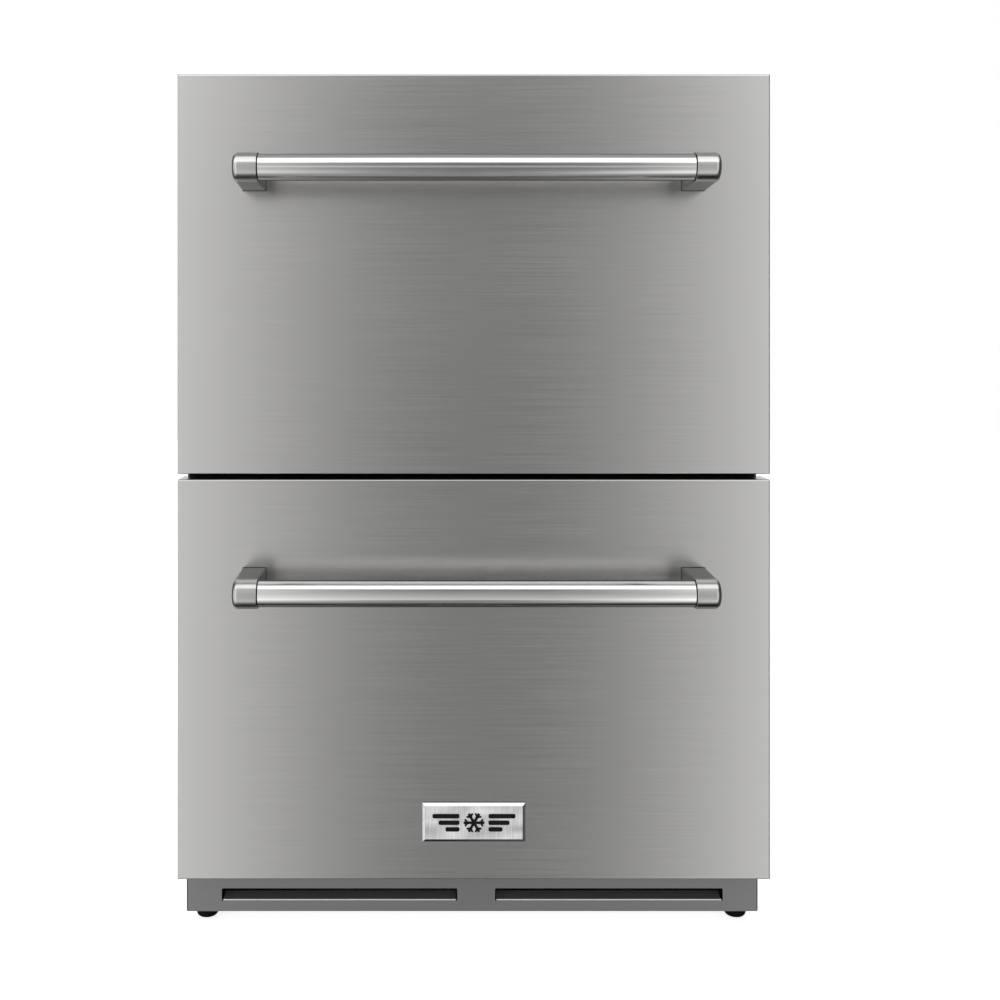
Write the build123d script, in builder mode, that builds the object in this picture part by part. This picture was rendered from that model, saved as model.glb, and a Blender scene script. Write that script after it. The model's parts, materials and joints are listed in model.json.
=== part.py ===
from build123d import *
import os

# An under-counter refrigerator with two full-width drawers, for a 24 inch opening.
#
# The frame has +Z up from the floor, +X to the right of a person who faces the drawers, and +Y
# from the drawer fronts to the back. The origin is on the floor, in the middle of the overall
# width and depth, handles included. All dimensions are in millimetres.

# ---------------------------------------------------------------- driving dimensions
HEIGHT = 876.0  # floor to the top of the cabinet
DEPTH = 610.0  # face of the drawer fronts to the end of the mains gland
FRONT_W, FRONT_H, FRONT_T = 595.0, 401.5, 38.0  # one drawer front
CABINET_W = 592.0
TOP_DROP = 2.0  # the upper front stops this far below the cabinet's top
SEAM = 5.5  # gap between the two fronts
CLEAR_Z = 15.0  # floor to the underside of the cabinet
GASKET_T, GASKET_GAP = 8.7, 0.3
TRAVEL = 410.0  # how far a drawer pulls out

SHEET = 1.0  # steel sheet of the casing
PAN_SHEET = 1.5  # thicker sheet of the base pan
LINER = 2.0  # plastic sheet of the liners
SIDE_FOAM, BACK_FOAM, STEP_FOAM = 44.0, 49.0, 35.0

BAR_R, BAR_STANDOFF, BAR_DROP = 12.7, 60.0, 102.75
BRACKET_R, BRACKET_INNER_X, BRACKET_OUTER_X = 14.5, 208.5, 232.0

# ---------------------------------------------------------------- places worked out from them
HALF_W = CABINET_W / 2
Y_FRONT = (BAR_STANDOFF + BRACKET_R - DEPTH) / 2
Y_END = Y_FRONT + DEPTH
GLAND_OUT = 10.0
Y_REAR = Y_END - GLAND_OUT  # outer face of the rear sheets
Y_FLANGE = Y_FRONT + FRONT_T + GASKET_T + GASKET_GAP
Y_PLUG = Y_FRONT + FRONT_T + 14.0  # back of the raised plug inside each drawer front
Y_KICK = Y_FRONT + 40.0

UPPER_Z = HEIGHT - TOP_DROP - FRONT_H  # underside of the upper front
LOWER_Z = UPPER_Z - SEAM - FRONT_H
SILL_Z = 66.0  # underside of the insulated box
KICK_TOP_Z = 63.0
Y_MACHINE, Z_MACHINE = Y_FRONT + 420.0, 255.0  # front and ceiling of the machine compartment

CAVITY_X = HALF_W - SHEET - SIDE_FOAM  # outer face of the liner's side
CAVITY_FLOOR, CAVITY_TOP = 110.0, HEIGHT - SHEET - SIDE_FOAM
CAVITY_BACK = Y_REAR - SHEET - BACK_FOAM
STEP_Y, STEP_Z = Y_MACHINE - STEP_FOAM, Z_MACHINE + STEP_FOAM
WALL_X = CAVITY_X - LINER  # inner face of the liner's side
CAVITY_CORNER = 12.0

FLANGE_W = 22.0  # width of the casing's front return
MULLION_Z = (452.0, 488.0)
MULLION_FACE_X = HALF_W - 2.0

FOOT_R, FOOT_STEM_R, STEM_CLEAR = 11.3, 5.0, 0.05
FOOT_PAD_H, FOOT_NUT_H, FOOT_STEM_H = 12.5, 2.0, 36.0
FOOT_X = 279.0
FOOT_Y = {"front": Y_FRONT + 68.0, "rear": Y_REAR - 40.0}

EVAPORATOR_COVER_Y = CAVITY_BACK - 56.0
EVAPORATOR_TUBE_Y = CAVITY_BACK - 25.0
EVAPORATOR_FAN = (0.0, 765.0)  # X and Z of its axis
CONDENSER_FAN = (Y_REAR - 90.0, 132.0)  # Y and Z of its axis
COMPRESSOR = (150.0, Y_REAR - 92.0)  # X and Y of its middle
COMPRESSOR_FEET = [
    (COMPRESSOR[0] + dx, COMPRESSOR[1] + dy) for dx in (-70.0, 70.0) for dy in (-50.0, 50.0)
]
STUD_R, STUD_H = 4.0, 14.0
SUCTION_RISER = (238.0, EVAPORATOR_TUBE_Y)
CAPILLARY_RISER = (229.0, EVAPORATOR_TUBE_Y + 13.0)
DRAIN_RISER = (150.0, CAVITY_BACK - 26.0)
RISER_CLEAR = 0.1
SUCTION_R, DISCHARGE_R, CAPILLARY_R, DRAIN_R = 4.0, 3.2, 1.5, 8.0

SCREW_R, SCREW_HEAD_R, SCREW_HEAD_T, SCREW_LENGTH = 2.0, 4.0, 2.2, 2.0

os.makedirs("parts", exist_ok=True)


# ---------------------------------------------------------------- helpers
def write(piece, label):
    """Names a finished piece and writes it as its own STEP file."""
    piece.part.label = label
    export_step(piece.part, f"parts/{label}.step")


def front_plane(y):
    """A plane across the object at depth y: its own x is X, its own y is Z, and it faces the front."""
    return Plane.XZ.offset(-y)


def span(x, y, z, mode=Mode.ADD):
    """Adds a box that runs between a low and a high value on each axis."""
    with Locations(((x[0] + x[1]) / 2, (y[0] + y[1]) / 2, (z[0] + z[1]) / 2)):
        Box(x[1] - x[0], y[1] - y[0], z[1] - z[0], mode=mode)


def frame_sketch(x, z, width):
    """Adds a rectangular ring to a sketch: its outer edge is at x and z, and it is width wide."""
    centre = ((x[0] + x[1]) / 2, (z[0] + z[1]) / 2)
    size = (x[1] - x[0], z[1] - z[0])
    with Locations(centre):
        Rectangle(*size)
        Rectangle(size[0] - 2 * width, size[1] - 2 * width, mode=Mode.SUBTRACT)


def riser_holes(clear=RISER_CLEAR):
    """Cuts the three upright holes that the two refrigerant lines and the drain pass through."""
    for (x, y), radius in (
        (SUCTION_RISER, SUCTION_R),
        (CAPILLARY_RISER, CAPILLARY_R),
        (DRAIN_RISER, DRAIN_R),
    ):
        with Locations((x, y, STEP_Z)):
            Cylinder(radius + clear, 2 * STEP_FOAM + 20, mode=Mode.SUBTRACT)


def mullion_notch():
    """Cuts the seat of the mullion's face plate out of whatever reaches the front of the cabinet."""
    span(
        (-MULLION_FACE_X, MULLION_FACE_X),
        (Y_FLANGE - SHEET, Y_FLANGE + LINER),
        MULLION_Z,
        mode=Mode.SUBTRACT,
    )


# Rear screws stand in two columns and two rows round the back panel and the service cover.
REAR_SCREW_X = HALF_W - 7.0
BACK_SCREWS = [(side * REAR_SCREW_X, z) for side in (-1, 1) for z in (285.0, 475.0, 665.0, 855.0)]
COVER_SCREWS = [(side * REAR_SCREW_X, z) for side in (-1, 1) for z in (36.0, 136.0, 236.0)]


def screw_holes(places):
    """Cuts a clearance hole for the shank of each rear screw."""
    for x, z in places:
        with Locations(Location((x, Y_REAR, z), (90, 0, 0))):
            Cylinder(SCREW_R + 0.05, 12, mode=Mode.SUBTRACT)


# ---------------------------------------------------------------- casing
with BuildPart() as outer_wrapper:
    with BuildSketch(front_plane(Y_FLANGE)):
        with Locations((0, (CLEAR_Z + HEIGHT) / 2)):
            Rectangle(CABINET_W, HEIGHT - CLEAR_Z)
        with Locations((0, (CLEAR_Z + HEIGHT - SHEET) / 2)):
            Rectangle(CABINET_W - 2 * SHEET, HEIGHT - SHEET - CLEAR_Z, mode=Mode.SUBTRACT)
    extrude(amount=-(Y_REAR - SHEET - Y_FLANGE))
    for return_y, return_w in ((Y_FLANGE, FLANGE_W), (Y_REAR - 2 * SHEET, 14.0)):
        with BuildSketch(front_plane(return_y)):
            with Locations((0, (CLEAR_Z + HEIGHT) / 2)):
                Rectangle(CABINET_W, HEIGHT - CLEAR_Z)
            with Locations((0, (CLEAR_Z + HEIGHT - return_w) / 2)):
                Rectangle(
                    CABINET_W - 2 * return_w, HEIGHT - return_w - CLEAR_Z, mode=Mode.SUBTRACT
                )
        extrude(amount=-SHEET)
    mullion_notch()
    screw_holes(BACK_SCREWS + COVER_SCREWS)
    long_corners = outer_wrapper.edges().filter_by(Axis.Y).group_by(Axis.Z)[-1]
    fillet(long_corners, SHEET * 0.8)
write(outer_wrapper, "outer_wrapper")

with BuildPart() as base_pan:
    pan_x = HALF_W - SHEET
    pan_y = (Y_FLANGE + SHEET, Y_REAR - 2 * SHEET)
    upturn_h, bush_r, bush_h = 26.0, 9.0, 16.0
    span((-pan_x, pan_x), pan_y, (CLEAR_Z, CLEAR_Z + PAN_SHEET))
    for side in (-1, 1):
        upturn = sorted((side * pan_x, side * (pan_x - PAN_SHEET)))
        span(upturn, pan_y, (CLEAR_Z, CLEAR_Z + upturn_h))
    # a threaded bush for each foot
    for foot_y in FOOT_Y.values():
        with Locations((-FOOT_X, foot_y, CLEAR_Z), (FOOT_X, foot_y, CLEAR_Z)):
            Cylinder(bush_r, bush_h, align=(Align.CENTER, Align.CENTER, Align.MIN))
            Cylinder(FOOT_STEM_R + STEM_CLEAR, 3 * bush_h, mode=Mode.SUBTRACT)
    # a stud for each grommet of the compressor
    for foot in COMPRESSOR_FEET:
        with Locations((*foot, CLEAR_Z + PAN_SHEET)):
            Cylinder(STUD_R, STUD_H, align=(Align.CENTER, Align.CENTER, Align.MIN))
write(base_pan, "base_pan")

with BuildPart() as step_panel:
    front_y, rear_y = Y_FLANGE + LINER, Y_REAR - 2 * SHEET
    with BuildSketch(Plane.YZ):
        with BuildLine():
            Polyline(
                (front_y, SILL_Z),
                (Y_MACHINE, SILL_Z),
                (Y_MACHINE, Z_MACHINE - SHEET),
                (rear_y, Z_MACHINE - SHEET),
                (rear_y, Z_MACHINE),
                (Y_MACHINE - SHEET, Z_MACHINE),
                (Y_MACHINE - SHEET, SILL_Z + SHEET),
                (front_y, SILL_Z + SHEET),
                close=True,
            )
        make_face()
    extrude(amount=HALF_W - SHEET, both=True)
    riser_holes()
write(step_panel, "step_panel")

with BuildPart() as back_panel:
    with BuildSketch(front_plane(Y_REAR - SHEET)):
        with Locations((0, (Z_MACHINE + 9 + HEIGHT) / 2)):
            Rectangle(CABINET_W, HEIGHT - Z_MACHINE - 9)
    extrude(amount=-SHEET)
    # two pressed stiffening beads
    for bead_x in (-140, 140):
        with BuildSketch(front_plane(Y_REAR)):
            with Locations((bead_x, 565)):
                SlotOverall(480, 22, rotation=90)
        extrude(amount=-3, taper=25)
    screw_holes(BACK_SCREWS)
write(back_panel, "back_panel")

GLAND_X, GLAND_Z, GLAND_BORE = 0.0, 45.0, 4.2
with BuildPart() as service_cover:
    with BuildSketch(front_plane(Y_REAR - SHEET)):
        with Locations((0, (CLEAR_Z + Z_MACHINE + 8) / 2)):
            Rectangle(CABINET_W, Z_MACHINE + 8 - CLEAR_Z)
        for field_x in (-165, 165):
            with Locations((field_x, 140)):
                with GridLocations(50, 12, 4, 13):
                    SlotOverall(40, 5, mode=Mode.SUBTRACT)
        with Locations((GLAND_X, GLAND_Z)):
            Circle(8.1, mode=Mode.SUBTRACT)
    extrude(amount=-SHEET)
    screw_holes(COVER_SCREWS)
write(service_cover, "service_cover")

with BuildPart() as panel_screws:
    for x, z in BACK_SCREWS + COVER_SCREWS:
        with BuildSketch(front_plane(Y_REAR)):
            with Locations((x, z)):
                Circle(SCREW_HEAD_R)
        extrude(amount=-SCREW_HEAD_T, taper=20)
        with BuildSketch(front_plane(Y_REAR)):
            with Locations((x, z)):
                Circle(SCREW_R)
        extrude(amount=SCREW_LENGTH)
        with BuildSketch(front_plane(Y_REAR + SCREW_HEAD_T)):
            with Locations((x, z)):
                Rectangle(4, 0.9)
                Rectangle(0.9, 4)
        extrude(amount=1.0, mode=Mode.SUBTRACT)
write(panel_screws, "panel_screws")

# The mains gland holds the supply cord where it passes through the service cover.
with BuildPart() as mains_gland:
    with BuildSketch(front_plane(Y_REAR)):
        with Locations((GLAND_X, GLAND_Z)):
            RegularPolygon(12, 6)
    extrude(amount=-6)
    with BuildSketch(front_plane(Y_REAR + 6)):
        with Locations((GLAND_X, GLAND_Z)):
            Circle(9)
    extrude(amount=-(GLAND_OUT - 6))
    fillet(mains_gland.faces().sort_by(Axis.Y)[-1].edges(), 2)
    with BuildSketch(front_plane(Y_REAR)):
        with Locations((GLAND_X, GLAND_Z)):
            Circle(8)
    extrude(amount=12)
    with BuildSketch(front_plane(Y_REAR - SHEET)):
        with Locations((GLAND_X, GLAND_Z)):
            RegularPolygon(12, 6)
    extrude(amount=5)
    with Locations(Location((GLAND_X, Y_REAR, GLAND_Z), (90, 0, 0))):
        Cylinder(GLAND_BORE, 60, mode=Mode.SUBTRACT)
write(mains_gland, "mains_gland")


# ---------------------------------------------------------------- insulated box
def cavity(inset):
    """The stepped block that the liner wraps, shrunk by inset: deep above, shallow below the step."""
    with BuildPart() as block:
        with BuildSketch(Plane.YZ):
            with BuildLine():
                Polyline(
                    (Y_FLANGE, CAVITY_FLOOR + inset),
                    (STEP_Y - inset, CAVITY_FLOOR + inset),
                    (STEP_Y - inset, STEP_Z + inset),
                    (CAVITY_BACK - inset, STEP_Z + inset),
                    (CAVITY_BACK - inset, CAVITY_TOP - inset),
                    (Y_FLANGE, CAVITY_TOP - inset),
                    close=True,
                )
            make_face()
        extrude(amount=CAVITY_X - inset, both=True)
        mouth = block.faces().sort_by(Axis.Y)[0].edges()
        fillet(block.edges() - mouth, CAVITY_CORNER - inset)
    return block.part


cavity_outer = cavity(0)
cavity_inner = cavity(LINER)

with BuildPart() as cabinet_insulation:
    foam_front, foam_rear = Y_FLANGE + LINER, Y_REAR - 2 * SHEET
    with BuildSketch(Plane.YZ):
        with BuildLine():
            Polyline(
                (foam_front, SILL_Z + SHEET),
                (Y_MACHINE - SHEET, SILL_Z + SHEET),
                (Y_MACHINE - SHEET, Z_MACHINE),
                (foam_rear, Z_MACHINE),
                (foam_rear, HEIGHT - SHEET),
                (foam_front, HEIGHT - SHEET),
                close=True,
            )
        make_face()
    extrude(amount=HALF_W - SHEET, both=True)
    add(cavity_outer, mode=Mode.SUBTRACT)
    riser_holes()
write(cabinet_insulation, "cabinet_insulation")

with BuildPart() as inner_liner:
    add(cavity_outer)
    lip_x = HALF_W - FLANGE_W
    lip_z = (SILL_Z, HEIGHT - FLANGE_W)
    span((-lip_x, lip_x), (Y_FLANGE, Y_FLANGE + LINER), lip_z)
    add(cavity_inner, mode=Mode.SUBTRACT)
    riser_holes()
    mullion_notch()
    fillet(inner_liner.edges().filter_by(Axis.Y).filter_by(
        lambda e: abs(e.length - LINER) < 0.01 and abs(abs(e.center().X) - lip_x) < 0.01
        and e.center().Z > HEIGHT / 2 + 200
    ), 1.0)
write(inner_liner, "inner_liner")

with BuildPart() as front_mullion:
    with BuildSketch(front_plane(Y_FLANGE)):
        with Locations((0, sum(MULLION_Z) / 2)):
            Rectangle(2 * MULLION_FACE_X, MULLION_Z[1] - MULLION_Z[0])
    extrude(amount=-LINER)
    span((-WALL_X, WALL_X), (Y_FLANGE + LINER, Y_FLANGE + 40), MULLION_Z)
    rear_edges = front_mullion.faces().sort_by(Axis.Y)[-1].edges().filter_by(Axis.X)
    fillet(rear_edges, 4)
write(front_mullion, "front_mullion")

# ---------------------------------------------------------------- kick grille
KICK_T = 1.2
LOUVRE_Z = (26.2, 39.3)
LOUVRE_CORNER = 1.5
LOUVRES_X = ((-259.6, -15.5), (23.5, 259.6))  # the left louvre is a little longer
FLAP_GAP = 1.6  # air gap at each end of a flap
FLAP_LIP_Z, FLAP_LIP = 27.0, 0.85  # where the flap's sloping lip starts, and its rise
FLAP_DEPTH, FLAP_END_Z, FLAP_T = 14.0, 31.2, 1.1

with BuildPart() as kick_grille:
    span((-HALF_W, HALF_W), (Y_KICK, Y_FLANGE), (CLEAR_Z, KICK_TOP_Z))
    face_edges = kick_grille.faces().sort_by(Axis.Y)[0].edges()
    fillet(face_edges, 1.8)
    offset(amount=-KICK_T, openings=kick_grille.faces().sort_by(Axis.Y)[-1])
    for louvre_x in LOUVRES_X:
        with BuildSketch(front_plane(Y_KICK)):
            with Locations((sum(louvre_x) / 2, sum(LOUVRE_Z) / 2)):
                RectangleRounded(louvre_x[1] - louvre_x[0], LOUVRE_Z[1] - LOUVRE_Z[0], LOUVRE_CORNER)
        extrude(amount=-KICK_T, mode=Mode.SUBTRACT)
        # a pressed flap fused to the lower edge: a sloping lip, then a shallow ramp inwards
        root_z, lip_end_z = LOUVRE_Z[0] - KICK_T, FLAP_LIP_Z + FLAP_LIP
        with BuildSketch(Plane.YZ.offset(louvre_x[0] + FLAP_GAP)):
            with BuildLine():
                Polyline(
                    (Y_KICK, root_z),
                    (Y_KICK, FLAP_LIP_Z),
                    (Y_KICK + FLAP_LIP, lip_end_z),
                    (Y_KICK + FLAP_DEPTH, FLAP_END_Z),
                    (Y_KICK + FLAP_DEPTH, FLAP_END_Z - FLAP_T),
                    (Y_KICK + KICK_T, lip_end_z - FLAP_T),
                    (Y_KICK + KICK_T, root_z),
                    close=True,
                )
            make_face()
        extrude(amount=louvre_x[1] - louvre_x[0] - 2 * FLAP_GAP)
write(kick_grille, "kick_grille")

# ---------------------------------------------------------------- levelling feet
for row, foot_y in FOOT_Y.items():
    for hand, side in (("left", -1), ("right", 1)):
        with BuildPart() as foot:
            with BuildSketch(Plane.XY):
                with Locations((side * FOOT_X, foot_y)):
                    Circle(FOOT_R)
            extrude(amount=FOOT_PAD_H)
            fillet(foot.edges().group_by(Axis.Z)[0], 4.5)
            fillet(foot.edges().group_by(Axis.Z)[-1], 1)
            with BuildSketch(Plane.XY.offset(FOOT_PAD_H)):
                with Locations((side * FOOT_X, foot_y)):
                    RegularPolygon(8, 6)
            extrude(amount=FOOT_NUT_H)
            with BuildSketch(Plane.XY.offset(FOOT_PAD_H + FOOT_NUT_H)):
                with Locations((side * FOOT_X, foot_y)):
                    Circle(FOOT_STEM_R)
            extrude(amount=FOOT_STEM_H)
            chamfer(foot.edges().group_by(Axis.Z)[-1], 1)
        write(foot, f"levelling_foot_{row}_{hand}")

# ---------------------------------------------------------------- drawers
PLUG_X = 244.0
BIN_X = 235.5
BIN_T = 2.5
RAIL_LENGTH = TRAVEL + 20.0
RAIL_LEAD = 4.0  # how far the fixed and middle members stay behind the plug
RAIL_T = 1.5
SCREW_X = (BRACKET_INNER_X + BRACKET_OUTER_X) / 2


def drawer_front(z0, plug_z):
    """The skin, inner panel and foam core of one drawer front, whose underside is at z0."""
    half_w, z1 = FRONT_W / 2, z0 + FRONT_H
    bar_z = z1 - BAR_DROP
    with BuildPart() as skin:
        span((-half_w, half_w), (Y_FRONT, Y_FRONT + FRONT_T), (z0, z1))
        fillet(skin.faces().sort_by(Axis.Y)[0].edges(), 1.6)
        offset(amount=-SHEET, openings=skin.faces().sort_by(Axis.Y)[-1])
        for side in (-1, 1):
            with Locations(Location((side * SCREW_X, Y_FRONT, bar_z), (90, 0, 0))):
                Cylinder(2.6, 10, mode=Mode.SUBTRACT)
    with BuildPart() as panel:
        inner_x = half_w - SHEET
        panel_y = Y_FRONT + FRONT_T - LINER
        span((-inner_x, inner_x), (panel_y, panel_y + LINER), (z0 + SHEET, z1 - SHEET))
        with BuildSketch(front_plane(Y_FRONT + FRONT_T)):
            with Locations((0, sum(plug_z) / 2)):
                RectangleRounded(2 * PLUG_X, plug_z[1] - plug_z[0], 14)
        extrude(amount=-(Y_PLUG - Y_FRONT - FRONT_T))
        fillet(panel.faces().sort_by(Axis.Y)[-1].edges(), 5)
        with BuildSketch(front_plane(panel_y)):
            with Locations((0, sum(plug_z) / 2)):
                RectangleRounded(2 * (PLUG_X - LINER), plug_z[1] - plug_z[0] - 2 * LINER, 12)
        extrude(amount=-(Y_PLUG - LINER - panel_y), mode=Mode.SUBTRACT)
    with BuildPart() as foam:
        span((-inner_x, inner_x), (Y_FRONT + SHEET, panel_y), (z0 + SHEET, z1 - SHEET))
        with BuildSketch(front_plane(panel_y)):
            with Locations((0, sum(plug_z) / 2)):
                RectangleRounded(2 * (PLUG_X - LINER), plug_z[1] - plug_z[0] - 2 * LINER, 12)
        extrude(amount=-(Y_PLUG - LINER - panel_y))
        fillet(foam.faces().sort_by(Axis.Y)[0].edges(), 0.8)
        for side in (-1, 1):
            with Locations(Location((side * SCREW_X, Y_FRONT, bar_z), (90, 0, 0))):
                Cylinder(6, 20, mode=Mode.SUBTRACT)
    return skin, panel, foam


def gasket(z0):
    """The magnetic seal behind one drawer front: a base, a waist and a magnet head, in three rings."""
    inset = FRONT_W / 2 - MULLION_FACE_X
    outer_x, outer_z = (-MULLION_FACE_X, MULLION_FACE_X), (z0 + inset, z0 + FRONT_H - inset)
    with BuildPart() as seal:
        y = Y_FRONT + FRONT_T
        for narrower, width, thickness in ((0, 12.0, 2.2), (2.0, 8.0, 3.5), (0, 12.0, 3.0)):
            with BuildSketch(front_plane(y)):
                frame_sketch(
                    (outer_x[0] + narrower, outer_x[1] - narrower),
                    (outer_z[0] + narrower, outer_z[1] - narrower),
                    width,
                )
            extrude(amount=-thickness)
            y += thickness
    return seal


def handle_bar(bar_z):
    """The tube that a hand pulls."""
    with BuildPart() as bar:
        with BuildSketch(Plane.YZ):
            with Locations((Y_FRONT - BAR_STANDOFF, bar_z)):
                Circle(BAR_R)
                Circle(BAR_R - 2.5, mode=Mode.SUBTRACT)
        extrude(amount=BRACKET_INNER_X + 11.5, both=True)
    return bar


def bracket_outline(section, side, bar_z, outer_corner):
    """Fills a sketch with one bracket seen from the front, rounder at the end away from the bar."""
    inner_corner = 0.5
    with Locations((side * SCREW_X, bar_z)):
        Rectangle(BRACKET_OUTER_X - BRACKET_INNER_X, 2 * BRACKET_R)
    outermost, innermost = (-1, 0) if side > 0 else (0, -1)
    fillet(section.vertices().group_by(Axis.X)[outermost], outer_corner)
    fillet(section.vertices().group_by(Axis.X)[innermost], inner_corner)


def handle_brackets(bar_z):
    """Both end brackets: a block from the door, sharp at its foot and rounded at the outer nose."""
    bar_y = Y_FRONT - BAR_STANDOFF
    nose_corner, foot_corner = 5.0, 0.8
    with BuildPart() as brackets:
        for side in (-1, 1):
            for y, corner in ((Y_FRONT, foot_corner), (bar_y, nose_corner)):
                with BuildSketch(front_plane(y)) as section:
                    bracket_outline(section, side, bar_z, corner)
            loft()
            # the nose is the upper half of the same outline, turned about the bar's axis
            with BuildSketch(front_plane(bar_y)) as half:
                bracket_outline(half, side, bar_z, nose_corner)
                with Locations((side * SCREW_X, bar_z - BRACKET_R)):
                    Rectangle(2 * BRACKET_OUTER_X, 2 * BRACKET_R, mode=Mode.SUBTRACT)
            revolve(axis=Axis((0, bar_y, bar_z), (1, 0, 0)), revolution_arc=180)
            with BuildSketch(Plane.YZ.offset(side * BRACKET_INNER_X)):
                with Locations((bar_y, bar_z)):
                    Circle(BAR_R + 0.05)
            extrude(amount=side * 12, mode=Mode.SUBTRACT)
            with Locations(Location((side * SCREW_X, Y_FRONT, bar_z), (90, 0, 0))):
                Cylinder(2.5, 40, mode=Mode.SUBTRACT)
    return brackets


def handle_screws(bar_z):
    """The two screws that hold the brackets, with their heads inside the drawer front."""
    with BuildPart() as screws:
        for side in (-1, 1):
            with BuildSketch(front_plane(Y_FRONT + SHEET)):
                with Locations((side * SCREW_X, bar_z)):
                    Circle(5)
            extrude(amount=-4)
            with BuildSketch(front_plane(Y_FRONT + SHEET)):
                with Locations((side * SCREW_X, bar_z)):
                    Circle(2.5)
            extrude(amount=SHEET + 18)
            with BuildSketch(front_plane(Y_FRONT + SHEET + 4)):
                with Locations((side * SCREW_X, bar_z)):
                    RegularPolygon(2.4, 6)
            extrude(amount=2.5, mode=Mode.SUBTRACT)
    return screws


def bin_tub(depth, z):
    """The moulded bin: a rounded tub, open on top, with a turned-out rim and four floor ribs."""
    middle_y = Y_PLUG + depth / 2
    with BuildPart() as tub:
        with BuildSketch(Plane.XY.offset(z[0])):
            with Locations((0, middle_y)):
                RectangleRounded(2 * BIN_X, depth, 20)
        extrude(amount=z[1] - z[0])
        fillet(tub.faces().sort_by(Axis.Z)[0].edges(), 12)
        offset(amount=-BIN_T, openings=tub.faces().sort_by(Axis.Z)[-1])
        with BuildSketch(Plane.XY.offset(z[1] - 3)):
            with Locations((0, middle_y + 2)):
                RectangleRounded(2 * BIN_X + 8, depth + 4, 22)
            with Locations((0, middle_y)):
                RectangleRounded(2 * (BIN_X - BIN_T), depth - 2 * BIN_T, 17.5, mode=Mode.SUBTRACT)
        extrude(amount=3)
        for rib_x in (-135, -45, 45, 135):
            with BuildSketch(Plane.XY.offset(z[0] + BIN_T)):
                with Locations((rib_x, middle_y)):
                    SlotOverall(depth - 60, 6, rotation=90)
            extrude(amount=2)
    return tub


def channel(side, z, web, tip, half_height):
    """Adds a C section to a sketch. Web and tip are distances in from the cavity's wall."""
    lean = 1 if tip > web else -1
    web_edges = (web, web + lean * RAIL_T)
    strips = [
        (web_edges, (z - half_height, z + half_height)),
        ((web, tip), (z - half_height, z - half_height + RAIL_T)),
        ((web, tip), (z + half_height - RAIL_T, z + half_height)),
    ]
    for (u0, u1), (z0, z1) in strips:
        with Locations((side * (WALL_X - (u0 + u1) / 2), (z0 + z1) / 2)):
            Rectangle(abs(u1 - u0), z1 - z0)


def rail_pair(z, lead, web, tip, half_height, slots):
    """One member of the telescopic slides on both sides of a drawer, lead behind the plug."""
    with BuildPart() as pair:
        for side in (-1, 1):
            with BuildSketch(front_plane(Y_PLUG + lead)):
                channel(side, z, web, tip, half_height)
            extrude(amount=-RAIL_LENGTH)
        for slot_y in slots:
            with BuildSketch(Plane.YZ):
                with Locations((Y_PLUG + slot_y, z)):
                    SlotOverall(26, 6)
            extrude(amount=WALL_X + 1, both=True, mode=Mode.SUBTRACT)
    return pair


def rail_inners(z):
    """The slide members fixed to the bin, each with a tab that is bolted to the drawer front."""
    pair = rail_pair(z, 0, WALL_X - BIN_X, 6.0, 15.5, (60, 215, 370))
    with BuildPart() as inners:
        add(pair.part)
        for side in (-1, 1):
            tab_x = sorted((side * BIN_X, side * (PLUG_X - 1)))
            span(tab_x, (Y_PLUG, Y_PLUG + RAIL_T), (z - 22, z + 22))
    return inners


DRAWERS = {
    # name: underside of the front, plug, bin, depth of the bin, height of the slides
    "upper": (UPPER_Z, (498.0, 822.0), (497.0, 780.0), 430.0, 640.0),
    "lower": (LOWER_Z, (120.0, 442.0), (120.0, 430.0), 320.0, 355.0),
}
for name, (front_z, plug_z, bin_z, bin_depth, rail_z) in DRAWERS.items():
    grip_z = front_z + FRONT_H - BAR_DROP
    front_skin, front_panel, front_foam = drawer_front(front_z, plug_z)
    write(front_skin, f"{name}_front_skin")
    write(front_panel, f"{name}_front_inner_panel")
    write(front_foam, f"{name}_front_foam")
    write(gasket(front_z), f"{name}_gasket")
    write(handle_bar(grip_z), f"{name}_handle_bar")
    write(handle_brackets(grip_z), f"{name}_handle_brackets")
    write(handle_screws(grip_z), f"{name}_handle_screws")
    write(bin_tub(bin_depth, bin_z), f"{name}_bin")
    write(rail_inners(rail_z), f"{name}_rail_inners")
    write(rail_pair(rail_z, RAIL_LEAD, 2.5, 11.0, 19.0, (120, 310)), f"{name}_rail_middles")
    write(rail_pair(rail_z, RAIL_LEAD, 0.0, 9.5, 22.5, (40, 150, 280, 390)), f"{name}_rail_outers")

with BuildPart() as badge_plate:
    badge_w, badge_h, badge_t, badge_z = 103.0, 38.7, 3.0, 124.0
    with BuildSketch(front_plane(Y_FRONT)):
        with Locations((0, badge_z)):
            Rectangle(badge_w, badge_h)
    extrude(amount=badge_t)
    chamfer(badge_plate.faces().sort_by(Axis.Y)[0].edges(), 2.2, 2.8)
write(badge_plate, "badge_plate")

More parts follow.
